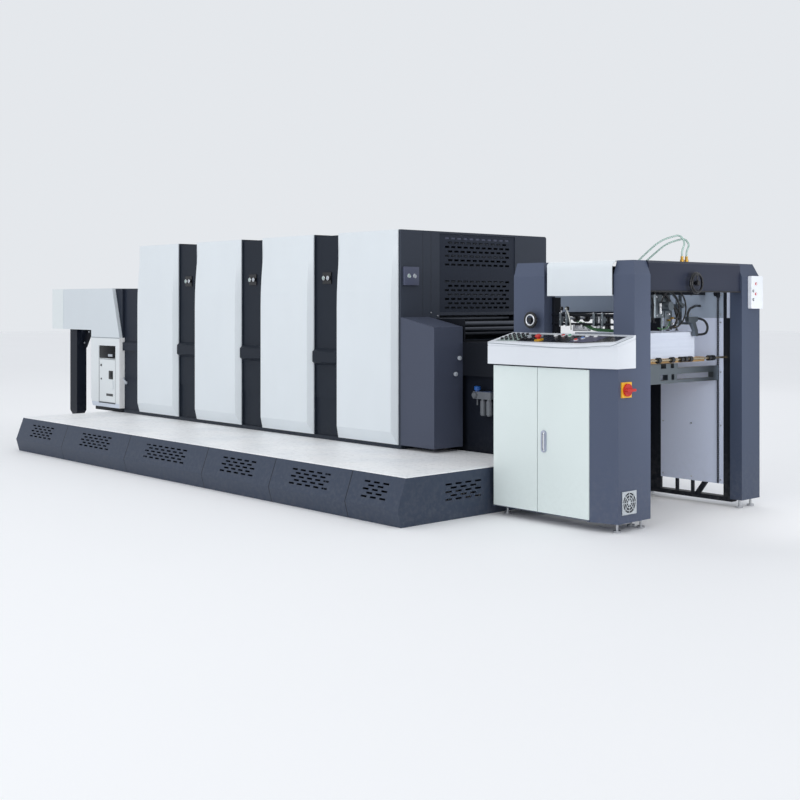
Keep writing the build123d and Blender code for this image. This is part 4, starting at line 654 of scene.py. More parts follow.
def makePiece(name, shapes, finish, slot, body="press", replaces=(), sharp=38):
    starts = np.cumsum([0] + [len(points) for points, _ in shapes])
    points = np.concatenate([points for points, _ in shapes])
    faces = np.concatenate([faces + start for (_, faces), start in zip(shapes, starts)])
    mesh = bpy.data.meshes.new(name)
    mesh.from_pydata(points.tolist(), [], faces.tolist())
    work = bmesh.new()
    work.from_mesh(mesh)
    bmesh.ops.remove_doubles(work, verts=work.verts, dist=2e-6)
    bmesh.ops.recalc_face_normals(work, faces=work.faces)
    work.to_mesh(mesh)
    work.free()
    mesh.shade_smooth()
    mesh.set_sharp_from_angle(angle=math.radians(sharp))
    mesh.materials.append(finishes[finish].material)
    piece = bpy.data.objects.new(name, mesh)
    bpy.context.scene.collection.objects.link(piece)
    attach(piece, body)
    if replaces:
        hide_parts(*replaces)


def screwHead(start, axis, radius):
    # a domed head with a round socket in its middle
    shares = ((0.5, 1), (0.75, 0.8), (0.78, 0.45), (0.4, 0.42), (0.4, 0))
    head = [(radius * along, radius * wide) for along, wide in shares]
    return turned(start, axis, [(-0.001, 0), (-0.001, radius)] + head, 12)


def button(start, axis, radius, rise):
    # a cap with a rounded edge and a slightly hollow top
    return turned(start, axis, [(-0.001, 0), (-0.001, radius), (rise - radius * 0.25, radius),
                                (rise - radius * 0.08, radius * 0.93), (rise, radius * 0.8),
                                (rise - radius * 0.08, radius * 0.3), (rise - radius * 0.1, 0)])


def bezel(start, axis, inner, outer, rise):
    # a ring round a button: a closed profile turned about the button's axis
    return turned(start, axis, [(-0.001, inner), (-0.001, outer), (rise * 0.6, outer),
                                (rise, (inner + outer) / 2), (rise * 0.8, inner)], 24, True)


def fitting(start, axis, size):
    # six-sided collar, neck and domed cap on one axis
    collar = [(-0.002, 0), (-0.002, size), (size * 0.9, size), (size * 0.95, size * 0.7), (size, 0)]
    cap = ((0.8, 0), (0.8, 0.62), (1.5, 0.62), (1.6, 0.85), (2.1, 0.8), (2.5, 0.45), (2.6, 0))
    return [turned(start, axis, collar, 6), turned(start, axis, np.array(cap) * size, 16)]


def makePlates(rows):
    # plain blocks: name, centre, half size, edge radius, finish and slot
    for name, centre, half, radius, finish, slot in rows:
        makePiece(name, [block(centre, half, radius)], finish, slot)


# Lift chains: flat links, two rollers a link

chain = {"pitch": 0.0127, "plateHalf": 0.0039, "waist": 0.0029, "plate": 0.0013, "outer": 0.0066,
         "inner": 0.0048, "roller": 0.003, "inX": 0.007, "inY": 0.004}


def makeChains():
    low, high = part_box("lift_chains")
    pitch, tall, waist = chain["pitch"], chain["plateHalf"], chain["waist"]
    angle = np.radians([-60, 0, 60])
    end = np.stack([tall * np.sin(angle), pitch / 2 + tall * np.cos(angle)], axis=1)
    outline = np.vstack([end, [[waist, 0]], end[::-1] * (1, -1), [[-waist, 0]]])
    xs = (low.x + chain["inX"], high.x - chain["inX"])
    ys = (low.y + chain["inY"], high.y - chain["inY"])
    count = int((high.z - low.z - 2 * tall) / pitch)
    heights = low.z + tall + (np.arange(count) + 0.5) * pitch
    places = np.array([(x, y, z) for x in xs for y in ys for z in heights])
    odd = np.tile(np.arange(count) % 2 == 1, len(xs) * len(ys))
    shapes = []
    for reach, mine in ((chain["outer"], places[odd]), (chain["inner"], places[~odd])):
        for side in (-1, 1):
            flat = np.column_stack([np.full(len(outline), side * reach), outline])
            shapes.append(copies(prism(flat, (-side * chain["plate"], 0, 0)), mine))
    span = chain["inner"] * 0.7
    shapes.append(copies(rod((-span, 0, pitch / 2), (1, 0, 0), chain["roller"], 2 * span, 6), places))
    makePiece("roller_chains", shapes, "chain", "bright_steel", replaces=("lift_chains",))


# Button stations between the units and on the end frame

stations = {"xs": (0.79485, -0.19515, -1.18515), "face": -0.3315, "z": 1.558, "spread": 0.026,
            "endX": 1.67485, "endYs": (-0.2595, -0.2035), "endZ": 1.562, "radius": 0.0135,
            "rise": 0.006, "bezel": (1.03, 1.28, 0.0035),   # inner and outer radius as shares, and rise
            "endPlate": ((1.6655, -0.2315, 1.562), (0.011, 0.0712, 0.0672))}


def makeStationButtons():
    toFront, toEnd = (0, -1, 0), (1, 0, 0)
    radius, (inner, outer, rise) = stations["radius"], stations["bezel"]
    spots = [((x + side * stations["spread"], stations["face"], stations["z"]), toFront, side)
             for x in stations["xs"] for side in (-1, 1)]
    spots += [((stations["endX"], y, stations["endZ"]), toEnd, side)
              for y, side in zip(stations["endYs"], (-1, 1))]
    makePiece("end_station_plate", [block(*stations["endPlate"], 0.0008)], "endPlate", "grey_metal")
    makePiece("station_bezels", [bezel(place, axis, radius * inner, radius * outer, rise)
                                 for place, axis, _ in spots], "chrome", "bright_steel")
    for name, finish, wanted in (("station_start_caps", "paleGreen", -1),
                                 ("station_stop_caps", "paleGrey", 1)):
        makePiece(name, [button(place, axis, radius, stations["rise"]) for place, axis, side in spots
                         if side == wanted], finish, "black_plastic")


# Desk: keys, dials, round buttons and a dark display strip, on the keypad's sloping plane

desk = {
    "frontY": -0.5595, "frontZ": 1.115, "slope": 0.2377,
    "keyXs": (2.9691, 3.0031, 3.0371, 3.0711), "keyYs": (-0.4705, -0.4374, -0.4045),
    "keyHalf": (0.0115, 0.0115, 0.0045), "paleKeys": ((0, 2), (1, 1), (3, 2)),
    "dialXs": (2.8161, 2.8551, 2.8941, 2.9331), "dialYs": (-0.4925, -0.4546, -0.4167, -0.3788),
    "caps": (("white", 3.1686, -0.3758), ("red", 3.226, -0.371), ("green", 3.2785, -0.371),
             ("white", 3.4171, -0.371), ("white", 3.4825, -0.371), ("red", 3.4013, -0.4612),
             ("blue", 3.4211, -0.4185)),
    "capRadius": 0.0105, "capRise": 0.0095, "bezel": (1.04, 1.36, 0.004),
    "dial": ((0, 0), (0, 0.0125), (0.003, 0.0122), (0.0045, 0.0098), (0.013, 0.0092), (0.0142, 0.0082),
             (0.0142, 0)),
    "pointerHalf": (0.0009, 0.0036, 0.0007), "pointerOut": 0.0045, "pointerRise": 0.0147,
    "display": ((3.372, -0.5), (3.475, -0.5), (3.56, -0.472), (3.572, -0.362), (3.372, -0.362)),
    "dialPlate": ((2.7925, -0.5165), (2.9525, -0.5165), (2.9525, -0.3575), (2.7925, -0.3575)),
}


def makeDeskControls():
    up = np.array([0, 1, desk["slope"]]) / math.hypot(1, desk["slope"])
    axes = np.array([(1, 0, 0), up, (0, -up[2], up[1])])
    normal = axes[2]

    def onDesk(x, y, lift):
        # a point on the keypad above (x, y), lifted along the plane's normal
        return np.array([x, y, desk["frontZ"] + (y - desk["frontY"]) * desk["slope"]]) + lift * normal

    keys = {"keyBlack": [], "paleGrey": []}
    for column, x in enumerate(desk["keyXs"]):
        for row, y in enumerate(desk["keyYs"]):
            kind = "paleGrey" if (column, row) in desk["paleKeys"] else "keyBlack"
            keys[kind].append(block(onDesk(x, y, 0.0035), desk["keyHalf"], 0.0018, axes))
    makePiece("desk_keys", keys["keyBlack"], "keyBlack", "black_plastic", replaces=("desk_buttons",))
    makePiece("desk_pale_keys", keys["paleGrey"], "paleGrey", "black_plastic")
    for name, outline, thick, finish in (("desk_dial_plate", "dialPlate", 0.0015, "paleGreen"),
                                         ("desk_display", "display", 0.0013, "displayGlass")):
        makePiece(name, [prism([onDesk(x, y, -0.0005) for x, y in desk[outline]], normal * thick)], finish,
                  "black_plastic")
    dials, marks, collars = [], [], []
    for x, y in ((x, y) for x in desk["dialXs"] for y in desk["dialYs"]):
        dials.append(turned(onDesk(x, y, 0.0005), normal, desk["dial"], 20))
        swing = rng.uniform(-1.1, 1.1)
        pointer = math.cos(swing) * axes[1] + math.sin(swing) * axes[0]
        marks.append(block(onDesk(x, y, desk["pointerRise"]) + pointer * desk["pointerOut"],
                           desk["pointerHalf"], 0.0003, (np.cross(pointer, normal), pointer, normal), 2))
    makePiece("desk_dials", dials, "keyBlack", "black_plastic")
    makePiece("dial_pointers", marks, "white", "paper")
    radius, (inner, outer, rise) = desk["capRadius"], desk["bezel"]
    for kind in ("white", "red", "green", "blue"):
        spots = [onDesk(x, y, 0.001) for colour, x, y in desk["caps"] if colour == kind]
        makePiece("desk_caps_" + kind, [button(spot, normal, radius, desk["capRise"]) for spot in spots],
                  kind, "red_plastic" if kind == "red" else "black_plastic")
        collars += [bezel(spot, normal, radius * inner, radius * outer, rise) for spot in spots]
    makePiece("desk_bezels", collars, "white", "black_plastic")


# Delivery end: the dark panel above the hood's leaning edge, a near-black block under the cabinet painted as
# its shadow, window, lock, vent, lever, gussets

delivery = {
    "slant": ((-2.3345, 1.0255), (-2.3345, 1.4998), (-2.47224, 1.4998)), "slantY": (-0.3342, 1.2832),
    "plates": (
        # painted shade: a near-black block under the cabinet, in the place of the shadow beneath it
        ("cabinet_underside_shadow_block", (-2.608, -0.235, 0.3252), (0.272, 0.095, 0.02), 0.004, "pit", "deep_paint"),
        ("cabinet_window", (-2.5757, -0.3618, 0.883), (0.1575, 0.0022, 0.0615), 0.001, "darkGlass",
         "black_plastic"),
        ("window_meter", (-2.519, -0.3648, 0.8515), (0.042, 0.0024, 0.012), 0.002, "paleGrey", "grey_metal"),
    ),
    "face": -0.3675, "locks": ((-2.692, 0.752, 0.0125), (-2.69, 0.618, 0.009)),
    "ventX": -2.526, "ventZs": (0.458, 0.466, 0.474), "ventHalf": (0.064, 0.0016, 0.0035),
    "latch": (((-2.5, -0.3687, 0.661), (0.04, 0.0022, 0.041), 0.0015),
              ((-2.506, -0.3727, 0.665), (0.02, 0.003, 0.02542), 0.002)),
    "lever": ((-2.302, -0.336, 0.642), (-2.262, -0.362, 0.63), (-2.215, -0.366, 0.603)), "leverRadius": 0.008,
    "knob": ((-0.012, 0), (-0.01, 0.009), (0, 0.0145), (0.014, 0.0135), (0.02, 0.007), (0.021, 0)),
    "knobAxis": (0.6, -0.2, -0.4), "gussetY": -0.246, "gussetThick": 0.012,
    "gusset": ((-3.2855, 0.905), (-3.2855, 1.0935), (-3.13, 1.0935), (-3.13, 1.0485), (-3.2355, 0.905)),
    "boltY": -0.25, "boltRadius": 0.011, "bolts": ((-3.2555, 1.0635), (-3.2555, 0.955), (-3.16, 1.0685)),
}


def makeDeliveryTrim():
    end, front = delivery, (0, -1, 0)
    y0, y1 = end["slantY"]
    makePiece("link_top_panels", [prism([(x, y0, z) for x, z in end["slant"]], (0, y1 - y0, 0))], "link",
              "deep_paint", sharp=20)
    makePlates(end["plates"])
    parts = [turned((x, end["face"], z), front, [(0, 0), (0, size), (0.003, size), (0.005, size * 0.85),
                                                 (0.005, size * 0.35), (0.003, size * 0.3), (0.003, 0)], 20)
             for x, z, size in end["locks"]]
    parts += [block((end["ventX"], end["face"] - 0.0008, z), end["ventHalf"], 0.0012) for z in end["ventZs"]]
    parts += [block(*row) for row in end["latch"]]
    makePiece("cabinet_lock_and_vent", parts, "keyBlack", "black_plastic", body="delivery_cabinet_door")
    knob = turned(end["lever"][-1], end["knobAxis"], end["knob"], 18)
    makePiece("link_lever", [tube(end["lever"], end["leverRadius"]), knob], "paleGrey", "grey_metal")
    gusset = prism([(x, end["gussetY"], z) for x, z in end["gusset"]], (0, end["gussetThick"], 0))
    makePiece("post_gusset_plates", [gusset], "pit", "deep_paint")
    bolts = [screwHead((x, end["boltY"], z), front, end["boltRadius"]) for x, z in end["bolts"]]
    makePiece("post_bolts", bolts, "steel", "bright_steel")


# Console: door handle, and the fan behind its guard

console = {
    "plateX": 3.1985, "plateZ": 0.509,
    # half size, start before the door's face, thickness, finish and slot
    "ovals": {"door_handle_plate": ((0.019, 0.068), -0.0005, 0.0103, "handlePlate", "bright_steel"),
              "door_handle_recess": ((0.0085, 0.054), 0.0096, 0.001, "gasketDark", "black_rubber")},
    "gripX": 3.2035, "gripOut": 0.003, "gripRadius": 0.0058,
    "grip": ((0.011, 0.446), (0.004, 0.454), (0, 0.468), (0, 0.509), (0, 0.55), (0.004, 0.564),
             (0.011, 0.572)),
}
fan = {"centre": (3.7324, -0.3745, 0.177), "radius": 0.056, "rim": 0.006, "blades": 7, "sweep": 0.32,
       "sink": 0.0001, "disc": 0.0005, "rise": 0.0016, "twist": 0.0011, "bladeHalf": 0.0003}


def stadium(x, y, z, half):
    # outline of a slot: two half circles joined by straight sides, in the plane across Y
    turn = np.linspace(0, 2 * math.pi, 28, endpoint=False)
    rise = half[1] - half[0]
    return np.column_stack([x + half[0] * np.cos(turn), np.full_like(turn, y),
                            z + half[0] * np.sin(turn) + np.where(np.sin(turn) >= 0, rise, -rise)])


def makeConsoleTrim():
    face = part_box("console_door_left")[0].y
    for name, (half, lift, thick, finish, slot) in console["ovals"].items():
        oval = prism(stadium(console["plateX"], face - lift, console["plateZ"], half), (0, -thick, 0))
        makePiece(name, [oval], finish, slot, body="right_console_door", sharp=25)
    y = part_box("console_door_right")[0].y - console["gripOut"]
    grip = tube([(console["gripX"], y + dip, z) for dip, z in console["grip"]], console["gripRadius"], 12)
    makePiece("door_grip", [grip], "chrome", "bright_steel", body="right_console_door")


def makeFan():
    centre, out, radius, reach = np.array(fan["centre"]), (1, 0, 0), fan["radius"], fan["sweep"]
    disc = rod(centre - (fan["sink"], 0, 0), out, radius + fan["rim"], fan["disc"], 40)
    makePiece("fan_disc", [disc], "pit", "black_plastic")
    span = np.linspace(0.3, 1.0, 8)[:, None]
    sweep = np.linspace(-reach, reach, 5)[None, :]
    shapes = [turned(centre, out, [(0.0004, 0), (0.0004, radius * 0.3), (0.0028, radius * 0.28),
                                   (0.0034, radius * 0.2), (0.0034, 0)], 24)]
    for number in range(fan["blades"]):
        # blade(span, sweep): a twisted strip between hub and rim, two skins a hair apart
        angle = 2 * math.pi * number / fan["blades"] + sweep * (0.8 + 0.5 * span) + 0.5 * span
        height = np.ones_like(angle) * (fan["rise"] + fan["twist"] * sweep / reach)
        under, over = [np.stack([height + lift, radius * span * np.cos(angle), radius * span * np.sin(angle)],
                                axis=2) for lift in (-fan["bladeHalf"], fan["bladeHalf"])]
        points, faces = capped(np.concatenate([under, over[:, ::-1]], axis=1))
        shapes.append((points + centre, faces))
    makePiece("fan_blades", shapes, "fan", "black_plastic")


# Wheels and control box

# body, axis, radius, bar's radius, sides around and of the bar, flatness, finish and slot
wheels = {
    "column_wheel_ring": ("column_wheel", (0, -1, 0), 0.0335, 0.0062, 40, 10, 0.9, "chrome", "bright_steel"),
    "header_wheel_grip": ("header_wheel", (1, 0, 0), 0.0635, 0.0072, 44, 12, 1.0, "black", "black_plastic"),
}
wheelPlace = {"columnOut": 0.0085, "headerX": 3.751}


def makeWheelTrim():
    low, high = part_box("column_handwheel")
    column = ((low.x + high.x) / 2, low.y + wheelPlace["columnOut"], (low.z + high.z) / 2)
    low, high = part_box("header_handwheel")
    header = (wheelPlace["headerX"], (low.y + high.y) / 2, (low.z + high.z) / 2)
    for centre, (name, (body, *form, finish, slot)) in zip((column, header), wheels.items()):
        makePiece(name, [hoop(centre, *form)], finish, slot, body=body)


# each cap's finish, and its place as shares of the box's width and height
controlBox = {"caps": (("red", 0.4, 0.76), ("keyBlack", 0.17, 0.54), ("red", 0.38, 0.45),
                       ("keyBlack", 0.17, 0.28)),
              "radius": 0.00901, "rise": 0.0062, "sink": 0.006}


def makeBoxButtons():
    low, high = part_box("control_box")
    face = high.x - controlBox["sink"]
    for kind, slot in (("red", "red_plastic"), ("keyBlack", "black_plastic")):
        spots = [(face, low.y + across * (high.y - low.y), low.z + rise * (high.z - low.z))
                 for colour, across, rise in controlBox["caps"] if colour == kind]
        caps = [button(spot, (1, 0, 0), controlBox["radius"], controlBox["rise"]) for spot in spots]
        makePiece("box_caps_" + kind.lower(), caps, kind, slot)


# Suction head: fittings, springs round the sucker stems, and thin air hoses

head = {
    "faceX": 3.4629, "suckerX": 3.4149, "suckerYs": (0.125, 0.2257, 0.4613, 0.562),
    "springZ": 1.212, "springLength": 0.046, "springRadius": 0.0125, "wire": 0.0017, "turns": 5.5,
    "nut": ((0, 0), (0, 0.0145), (0.001, 0.0155), (0.005, 0.0155), (0.006, 0.0145), (0.006, 0)),
    "plates": (("head_valve_plate", (3.4655, 0.397, 1.252), (0.004, 0.038, 0.062), 0.002, "bar",
                "grey_metal"),),
    "plateFace": 3.4695, "screwYs": (0.275, 0.335), "screwZs": (1.285, 1.405), "screwRadius": 0.006,
    "domeSize": 0.0085, "brassSize": 0.0075,
    "domes": ((0.3807, 1.294), (0.3698, 1.2126), (0.4248, 1.23)), "brass": ((0.4248, 1.2676), (0.386, 1.253)),
    "filter": (3.4715, 0.3043, 1.296),
    "filterProfile": ((0, 0), (0, 0.006), (0.004, 0.0085), (0.018, 0.0085), (0.02, 0.0068), (0.05, 0.0068),
                      (0.052, 0.0085), (0.064, 0.0085), (0.068, 0.005), (0.068, 0)),
    "hoses": (((3.482, 0.3, 1.372), (3.492, 0.325, 1.42), (3.494, 0.385, 1.437), (3.494, 0.448, 1.4),
               (3.494, 0.477, 1.335), (3.49, 0.462, 1.272), (3.474, 0.428, 1.2676)),
              ((3.472, 0.283, 1.43), (3.497, 0.352, 1.462), (3.506, 0.45, 1.45), (3.506, 0.52, 1.39),
               (3.506, 0.536, 1.318), (3.504, 0.505, 1.248), (3.492, 0.44, 1.205), (3.474, 0.385, 1.2126)),
              ((3.47, 0.215, 1.4), (3.492, 0.2, 1.35), (3.492, 0.196, 1.285), (3.478, 0.225, 1.245),
               (3.462, 0.2611, 1.24))),
    "hoseRadius": 0.0052, "greenRadius": 0.0036,
    "greenHose": ((3.476, 0.386, 1.253), (3.492, 0.376, 1.24), (3.492, 0.352, 1.208), (3.48, 0.318, 1.196),
                  (3.462, 0.285, 1.205)),
}


def makeHeadFittings():
    out, up = (1, 0, 0), (0, 0, 1)
    x, z, span, face = head["suckerX"], head["springZ"], head["springLength"], head["plateFace"]
    makePiece("sucker_springs", [coil((x, y, z), up, span, head["springRadius"], head["wire"], head["turns"])
                                 for y in head["suckerYs"]], "chrome", "bright_steel")
    makePiece("sucker_nuts", [turned((x, y, place), up, head["nut"], 6)
                              for y in head["suckerYs"] for place in (z - 0.006, z + span)], "brass", "brass")
    makePlates(head["plates"])
    domes, brass = [[part for y, z in head[kind] for part in fitting((face, y, z), out, head[size])]
                    for kind, size in (("domes", "domeSize"), ("brass", "brassSize"))]
    screws = [screwHead((head["faceX"], y, z), out, head["screwRadius"])
              for y in head["screwYs"] for z in head["screwZs"]]
    makePiece("head_domes", domes + screws, "chrome", "bright_steel")
    makePiece("head_brass_fittings", brass, "brass", "brass")
    makePiece("head_white_filter", [turned(head["filter"], up, head["filterProfile"], 20)], "white",
              "clear_hose")
    makePiece("head_air_hoses", [tube(path, head["hoseRadius"]) for path in head["hoses"]], "rubber",
              "black_rubber")
    makePiece("head_green_hose", [tube(head["greenHose"], head["greenRadius"], 8)], "hoseGreen", "clear_hose")


# Side rails of the feeder: clamps, two knobs, a curved lever, cylinders, a valve block with hoses

rails = {
    "x": (3.0184, 3.5743), "y": -0.2355, "topZ": 1.29, "lowZ": 1.233, "radius": 0.0075,
    "clampXs": (3.0927, 3.1426, 3.3646, 3.4316), "clampHalf": (0.0095, 0.0125, 0.042),
    "armHalf": (0.008, 0.02, 0.009), "armIn": 0.022, "screwRadius": 0.0042, "screwOff": 0.013,
    "stemZ": 1.3, "stemRadius": 0.004, "stemLength": 0.022, "knobZ": 1.318,
    "knob": ((0, 0), (0, 0.0085), (0.003, 0.0125), (0.018, 0.0135), (0.023, 0.012), (0.026, 0.007),
             (0.0265, 0)),
    "pivot": ((0, 0), (0, 0.008), (0.014, 0.008), (0.016, 0.006), (0.016, 0)), "pivotZ": 1.33,
    "leverRadius": 0.005,
    "barrel": ((0, 0), (0, 0.02), (0.003, 0.024), (0.012, 0.024), (0.013, 0.0222), (0.07, 0.0222),
               (0.071, 0.024), (0.084, 0.024), (0.087, 0.018), (0.087, 0.008), (0.1, 0.008), (0.1, 0)),
    "lever": ((3.1426, -0.247, 1.329), (3.153, -0.254, 1.32), (3.17, -0.258, 1.296),
              (3.185, -0.259, 1.252), (3.194, -0.258, 1.196)),
    "silver": (3.3646, -0.19, 1.196), "darkOne": (3.4316, -0.19, 1.2), "darkShare": 0.82,
    "valve": ((3.23, -0.198, 1.206), (0.056, 0.022, 0.018), 0.0025),
    "channel": ((3.031, -0.21, 1.26), (0.0114, 0.03, 0.142), 0.002),
    "bracketXs": (3.2, 3.262), "bracketHalf": (0.007, 0.018, 0.016), "bracketOff": 0.012,
    "ferruleXs": (3.196, 3.222, 3.248, 3.27), "ferrule": (-0.204, 1.224, 0.0062),  # y, z and size
    "hoseRadius": 0.0034, "hoseLift": 0.004,
    # steps from a hose's ferrule, the last number telling whether its lift counts; then shared places
    "hoseNear": ((0, 0, 0.012, 0), (0.012, -0.008, 0.026, 1), (0.05, -0.014, 0.01, 1)),
    "hoseFar": ((3.345, -0.2255, 1.1965), (3.43, -0.2215, 1.19), (3.5, -0.2155, 1.188),
                (3.574, -0.2055, 1.19)),
}


def makeSideRails():
    (x0, x1), y, top, low = rails["x"], rails["y"], rails["topZ"], rails["lowZ"]
    front, up, middle, clampXs = (0, -1, 0), (0, 0, 1), (top + low) / 2, rails["clampXs"]
    lowRail = rod((x0, y, low), (1, 0, 0), rails["radius"], x1 - x0, 16)
    makePiece("side_low_rail", [lowRail, block(*rails["channel"])], "pit", "deep_paint")
    clamps = [block((x, y, middle), rails["clampHalf"], 0.002) for x in clampXs]
    clamps += [block((x, y + rails["armIn"], middle), rails["armHalf"], 0.0015) for x in clampXs[2:]]
    makePiece("rail_clamps", clamps, "bar", "grey_metal")
    screws = [screwHead((x, y - rails["clampHalf"][1], z), front, rails["screwRadius"]) for x in clampXs
              for z in (low - rails["screwOff"], middle, top + rails["screwOff"])]
    stems = [rod((x, y, rails["stemZ"]), up, rails["stemRadius"], rails["stemLength"], 12)
             for x in clampXs[:2]]
    makePiece("clamp_screws", screws + stems, "chrome", "bright_steel")
    makePiece("clamp_knobs", [turned((x, y, rails["knobZ"]), up, rails["knob"], 14) for x in clampXs[:2]],
              "black", "black_plastic")
    pivot = turned((clampXs[1], y - 0.002, rails["pivotZ"]), front, rails["pivot"], 16)
    makePiece("rail_lever", [tube(rails["lever"], rails["leverRadius"]), pivot], "paleMetal", "bright_steel")
    makePiece("silver_cylinder", [turned(rails["silver"], up, rails["barrel"], 28)], "silver", "bright_steel")
    dark = np.array(rails["barrel"]) * (1, rails["darkShare"])
    makePiece("dark_cylinder", [turned(rails["darkOne"], up, dark, 24)], "black", "black_plastic")
    brackets = [block((x, y + rails["bracketOff"], low - rails["bracketOff"]), rails["bracketHalf"], 0.0015)
                for x in rails["bracketXs"]]
    makePiece("valve_block", [block(*rails["valve"])] + brackets, "silver", "grey_metal")
    ferrules, hoses, (startY, startZ, size) = [], [], rails["ferrule"]
    for number, x in enumerate(rails["ferruleXs"]):
        start, lift = (x, startY, startZ), rails["hoseLift"] * number
        ferrules += fitting(start, up, size)
        near = [np.add(start, (dx, dy, dz - counts * lift)) for dx, dy, dz, counts in rails["hoseNear"]]
        far = [(place, back + lift, rise + lift) for place, back, rise in rails["hoseFar"]]
        hoses.append(tube(near + far, rails["hoseRadius"], 8))
    makePiece("valve_ferrules", ferrules, "brass", "brass")
    makePiece("valve_hoses", hoses, "hoseGreen", "clear_hose")


# Light side cover with a folded lip, narrower than its space at the left end

sideCover = {"x": (3.056, 3.5738), "gauge": 0.003, "round": 0.045, "flare": 0.008, "flareZ": 1.598,
             "flareSoft": 0.004, "farShare": 0.4, "below": (0.03, 0.018),
             "lip": ((0.012, 0), (0.003, 0), (0.0006, 0.0012), (0, 0.0035))}


def makeSideCover():
    # point(s, corner): s runs round the bent sheet from the lower lip over the top to the back;
    # the four corners of the sheet's section ride along it
    low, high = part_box("feeder_side_cover")
    turn = np.linspace(0, math.pi / 2, 9)
    front, top, bend, flareZ = low.y, high.z, sideCover["round"], sideCover["flareZ"]
    profile = [(front + out, low.z + rise) for out, rise in sideCover["lip"]]
    profile += [(front, flareZ - below) for below in sideCover["below"]]
    curve = np.column_stack([front + bend - bend * np.cos(turn), top - bend + bend * np.sin(turn)])
    outer = np.vstack([profile, curve, [[high.y, top]]])
    along = headings(outer)
    inner = outer + sideCover["gauge"] * np.column_stack([along[:, 1], -along[:, 0]])
    spread = sideCover["flare"] / (1 + np.exp((flareZ - outer[:, 1]) / sideCover["flareSoft"]))
    left, right = sideCover["x"][0] - spread, sideCover["x"][1] + sideCover["farShare"] * spread
    corners = (left, outer), (right, outer), (right, inner), (left, inner)
    rings = np.stack([np.column_stack(corner) for corner in corners], axis=1)
    makePiece("side_cover_sheet", [capped(rings)], "cover", "light_paint", replaces=("feeder_side_cover",))


# Small fasteners: screws on the drive panels and the end frame, round knobs on the housing

fasteners = {
    "panelY": 0.8585, "panelXs": (3.095, 3.328, 3.562), "panelZs": (0.175, 0.54, 0.9, 1.235, 1.29, 1.42),
    "endX": 1.6549, "endSpots": ((-0.0214, 1.293), (0.0476, 1.27), (0.92, 1.3)),
    "housingX": 2.0029, "housingSpots": ((-0.0825, 0.971), (-0.1225, 0.858)),
    "panelRadius": 0.0055, "endRadius": 0.0065,
    "knob": ((-0.001, 0), (-0.001, 0.008), (0.006, 0.008), (0.008, 0.0155), (0.02, 0.016), (0.024, 0.013),
             (0.0245, 0)),
}


def makeFasteners():
    front, out = (0, -1, 0), (1, 0, 0)
    screws = [screwHead((x, fasteners["panelY"], z), front, fasteners["panelRadius"])
              for x in fasteners["panelXs"] for z in fasteners["panelZs"]]
    screws += [screwHead((fasteners["endX"], y, z), out, fasteners["endRadius"])
               for y, z in fasteners["endSpots"]]
    makePiece("panel_screws", screws, "steel", "bright_steel")
    makePiece("housing_knobs", [turned((fasteners["housingX"], y, z), out, fasteners["knob"], 20)
                                for y, z in fasteners["housingSpots"]], "paleGrey", "grey_metal")


# Rims of the delivery cabinet: a grey strip on the joint under the hood, painted as the shadow of the hood's
# overhang, and the frame round its window

gasket = {"z": (1.0185, 1.027), "y": -0.367, "half": 0.0016, "windowX": (-2.7332, -2.4182),
          "windowTop": 0.9445, "rim": 0.0032, "rimOut": 0.0042, "rimHalf": 0.0014, "sill": 0.01,
          "sillGap": 0.0035}


def makeCabinetRims():
    low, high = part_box("delivery_cabinet")
    (z0, z1), y, (x0, x1) = gasket["z"], gasket["y"], gasket["windowX"]
    # painted shadow: a grey strip on the hood-to-cabinet joint, in place of the hood's shadow there
    strip = block(((low.x + high.x) / 2, y, (z0 + z1) / 2),
                  ((high.x - low.x) / 2 - 0.002, gasket["half"], (z1 - z0) / 2), 0.001)
    makePiece("hood_joint_shadow_strip", [strip], "gasket", "light_paint")
    foot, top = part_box("cabinet_door")[0].z, gasket["windowTop"]
    rim, sill, deep = gasket["rim"] / 2, gasket["sill"] / 2, gasket["rimHalf"]
    sides = [block((x, y, (foot + top) / 2), (rim, deep, (top - foot) / 2 + 0.003), 0.0008)
             for x in (x0 - gasket["rimOut"], x1 + gasket["rimOut"])]
    sides.append(block(((x0 + x1) / 2, y, foot - gasket["sillGap"] - sill),
                       ((x1 - x0) / 2 + 0.004, deep, sill), 0.0008))
    makePiece("cabinet_rims", sides, "gasketDark", "black_rubber")
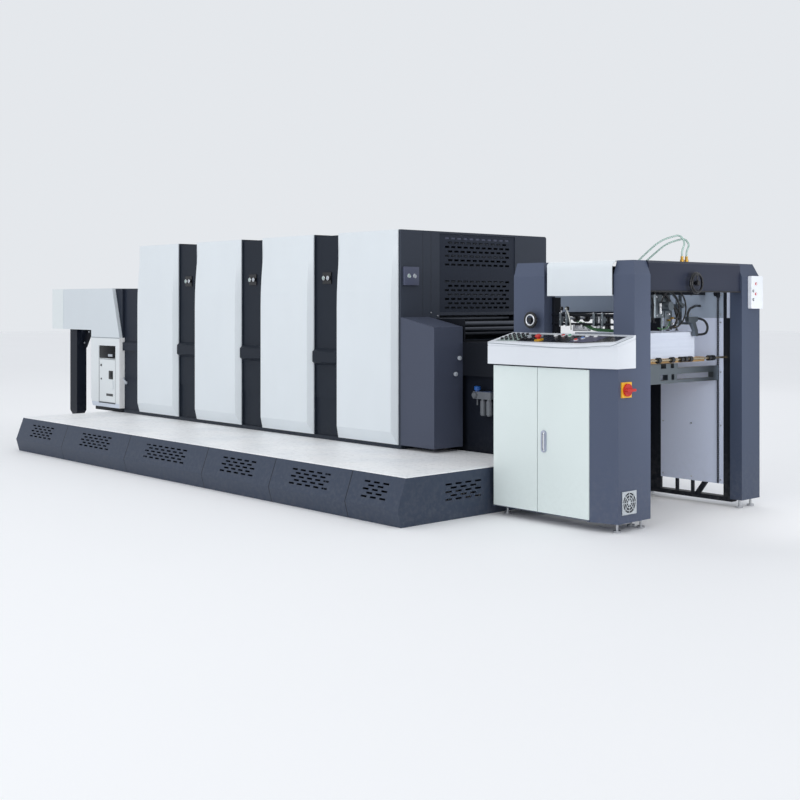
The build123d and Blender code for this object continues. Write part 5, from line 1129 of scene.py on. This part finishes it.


# Portal: a panel hung under its inner beam, a black strip under the header painted as its shadow, the pale
# strip of the guide, the sheet shaft with its wheels, and the plate over the end window

portal = {
    "plates": (
        ("window_top_plate", (1.6435, 0.482, 1.863), (0.0014, 0.41, 0.0205), 0.0008, "endPlate",
         "deep_paint"),
        ("portal_inner_panel", (2.775, 0.3435, 1.3685), (0.002, 0.5008, 0.0742), 0.0015, "upperPanel",
         "panel_paint"),
        ("portal_panel_lip", (2.779, 0.3435, 1.2975), (0.006, 0.5006, 0.006), 0.002, "pit", "deep_paint"),
        # painted shade: a black strip under the header's lower edge, standing in for the thin shadow there
        ("header_underside_shadow_strip", (3.694, 0.3435, 1.4388), (0.0335, 0.5005, 0.0036), 0.0015, "rubber",
         "black_rubber"),
        ("guide_pale_strip", (3.625, 0.857, 1.3535), (0.015, 0.0014, 0.0884), 0.0008, "panel", "panel_paint"),
    ),
    "shaft": (2.806, -0.1574, 1.262), "shaftLength": 1.0018, "shaftRadius": 0.01,
    "wheelYs": (0.04, 0.15, 0.26, 0.37, 0.48, 0.59, 0.7), "wheelRadius": 0.027, "wheelWidth": 0.036,
    "hubRadius": 0.017,
}


def makePortalTrim():
    makePlates(portal["plates"])
    (x, y, z), along = portal["shaft"], (0, 1, 0)
    shaft = rod((x, y, z), along, portal["shaftRadius"], portal["shaftLength"], 20)
    makePiece("sheet_shaft", [shaft], "steel", "bright_steel")
    wide, wheel, hub = portal["wheelWidth"], portal["wheelRadius"], portal["hubRadius"]
    rim = [(0, 0), (0, hub), (0.004, hub), (0.005, wheel - 0.002), (0.007, wheel), (wide - 0.007, wheel),
           (wide - 0.005, wheel - 0.002), (wide - 0.004, hub), (wide, hub), (wide, 0)]
    makePiece("sheet_wheels", [turned((x, place - wide / 2, z), along, rim, 28)
                               for place in portal["wheelYs"]], "rubber", "black_rubber")


deskBead = {
    "radius": 0.0022,
    "path": ((3.7412, -0.34, 1.164), (3.7412, -0.44, 1.1402), (3.7412, -0.53, 1.1188),
             (3.7395, -0.556, 1.115), (3.733, -0.5602, 1.114), (3.6669, -0.5602, 1.112),
             (3.53, -0.5602, 1.1), (3.3836, -0.5602, 1.094), (3.264, -0.5602, 1.0955),
             (3.0329, -0.5602, 1.102), (2.86, -0.5602, 1.107), (2.756, -0.5602, 1.1098)),
}


def makeDeskBead():
    makePiece("desk_edge_bead", [tube(deskBead["path"], deskBead["radius"], 8)], "gasket", "light_paint")


makeCamera()
makeStudio()
makeFloor()
print("camera, light and floor ready")
finishes = makeFinishes()
dressNodes()
print("finishes on", sum(len(names.split()) for names in nodeFinishes.values()), "nodes")
makeChains()
makeStationButtons()
makeDeskControls()
print("chains, stations and desk ready")
makeDeliveryTrim()
makeConsoleTrim()
makeFan()
makeWheelTrim()
makeBoxButtons()
print("delivery, console and wheels ready")
makeHeadFittings()
makeSideRails()
makeSideCover()
makeFasteners()
makeCabinetRims()
makePortalTrim()
makeDeskBead()
print("feeder fittings and small trim ready")
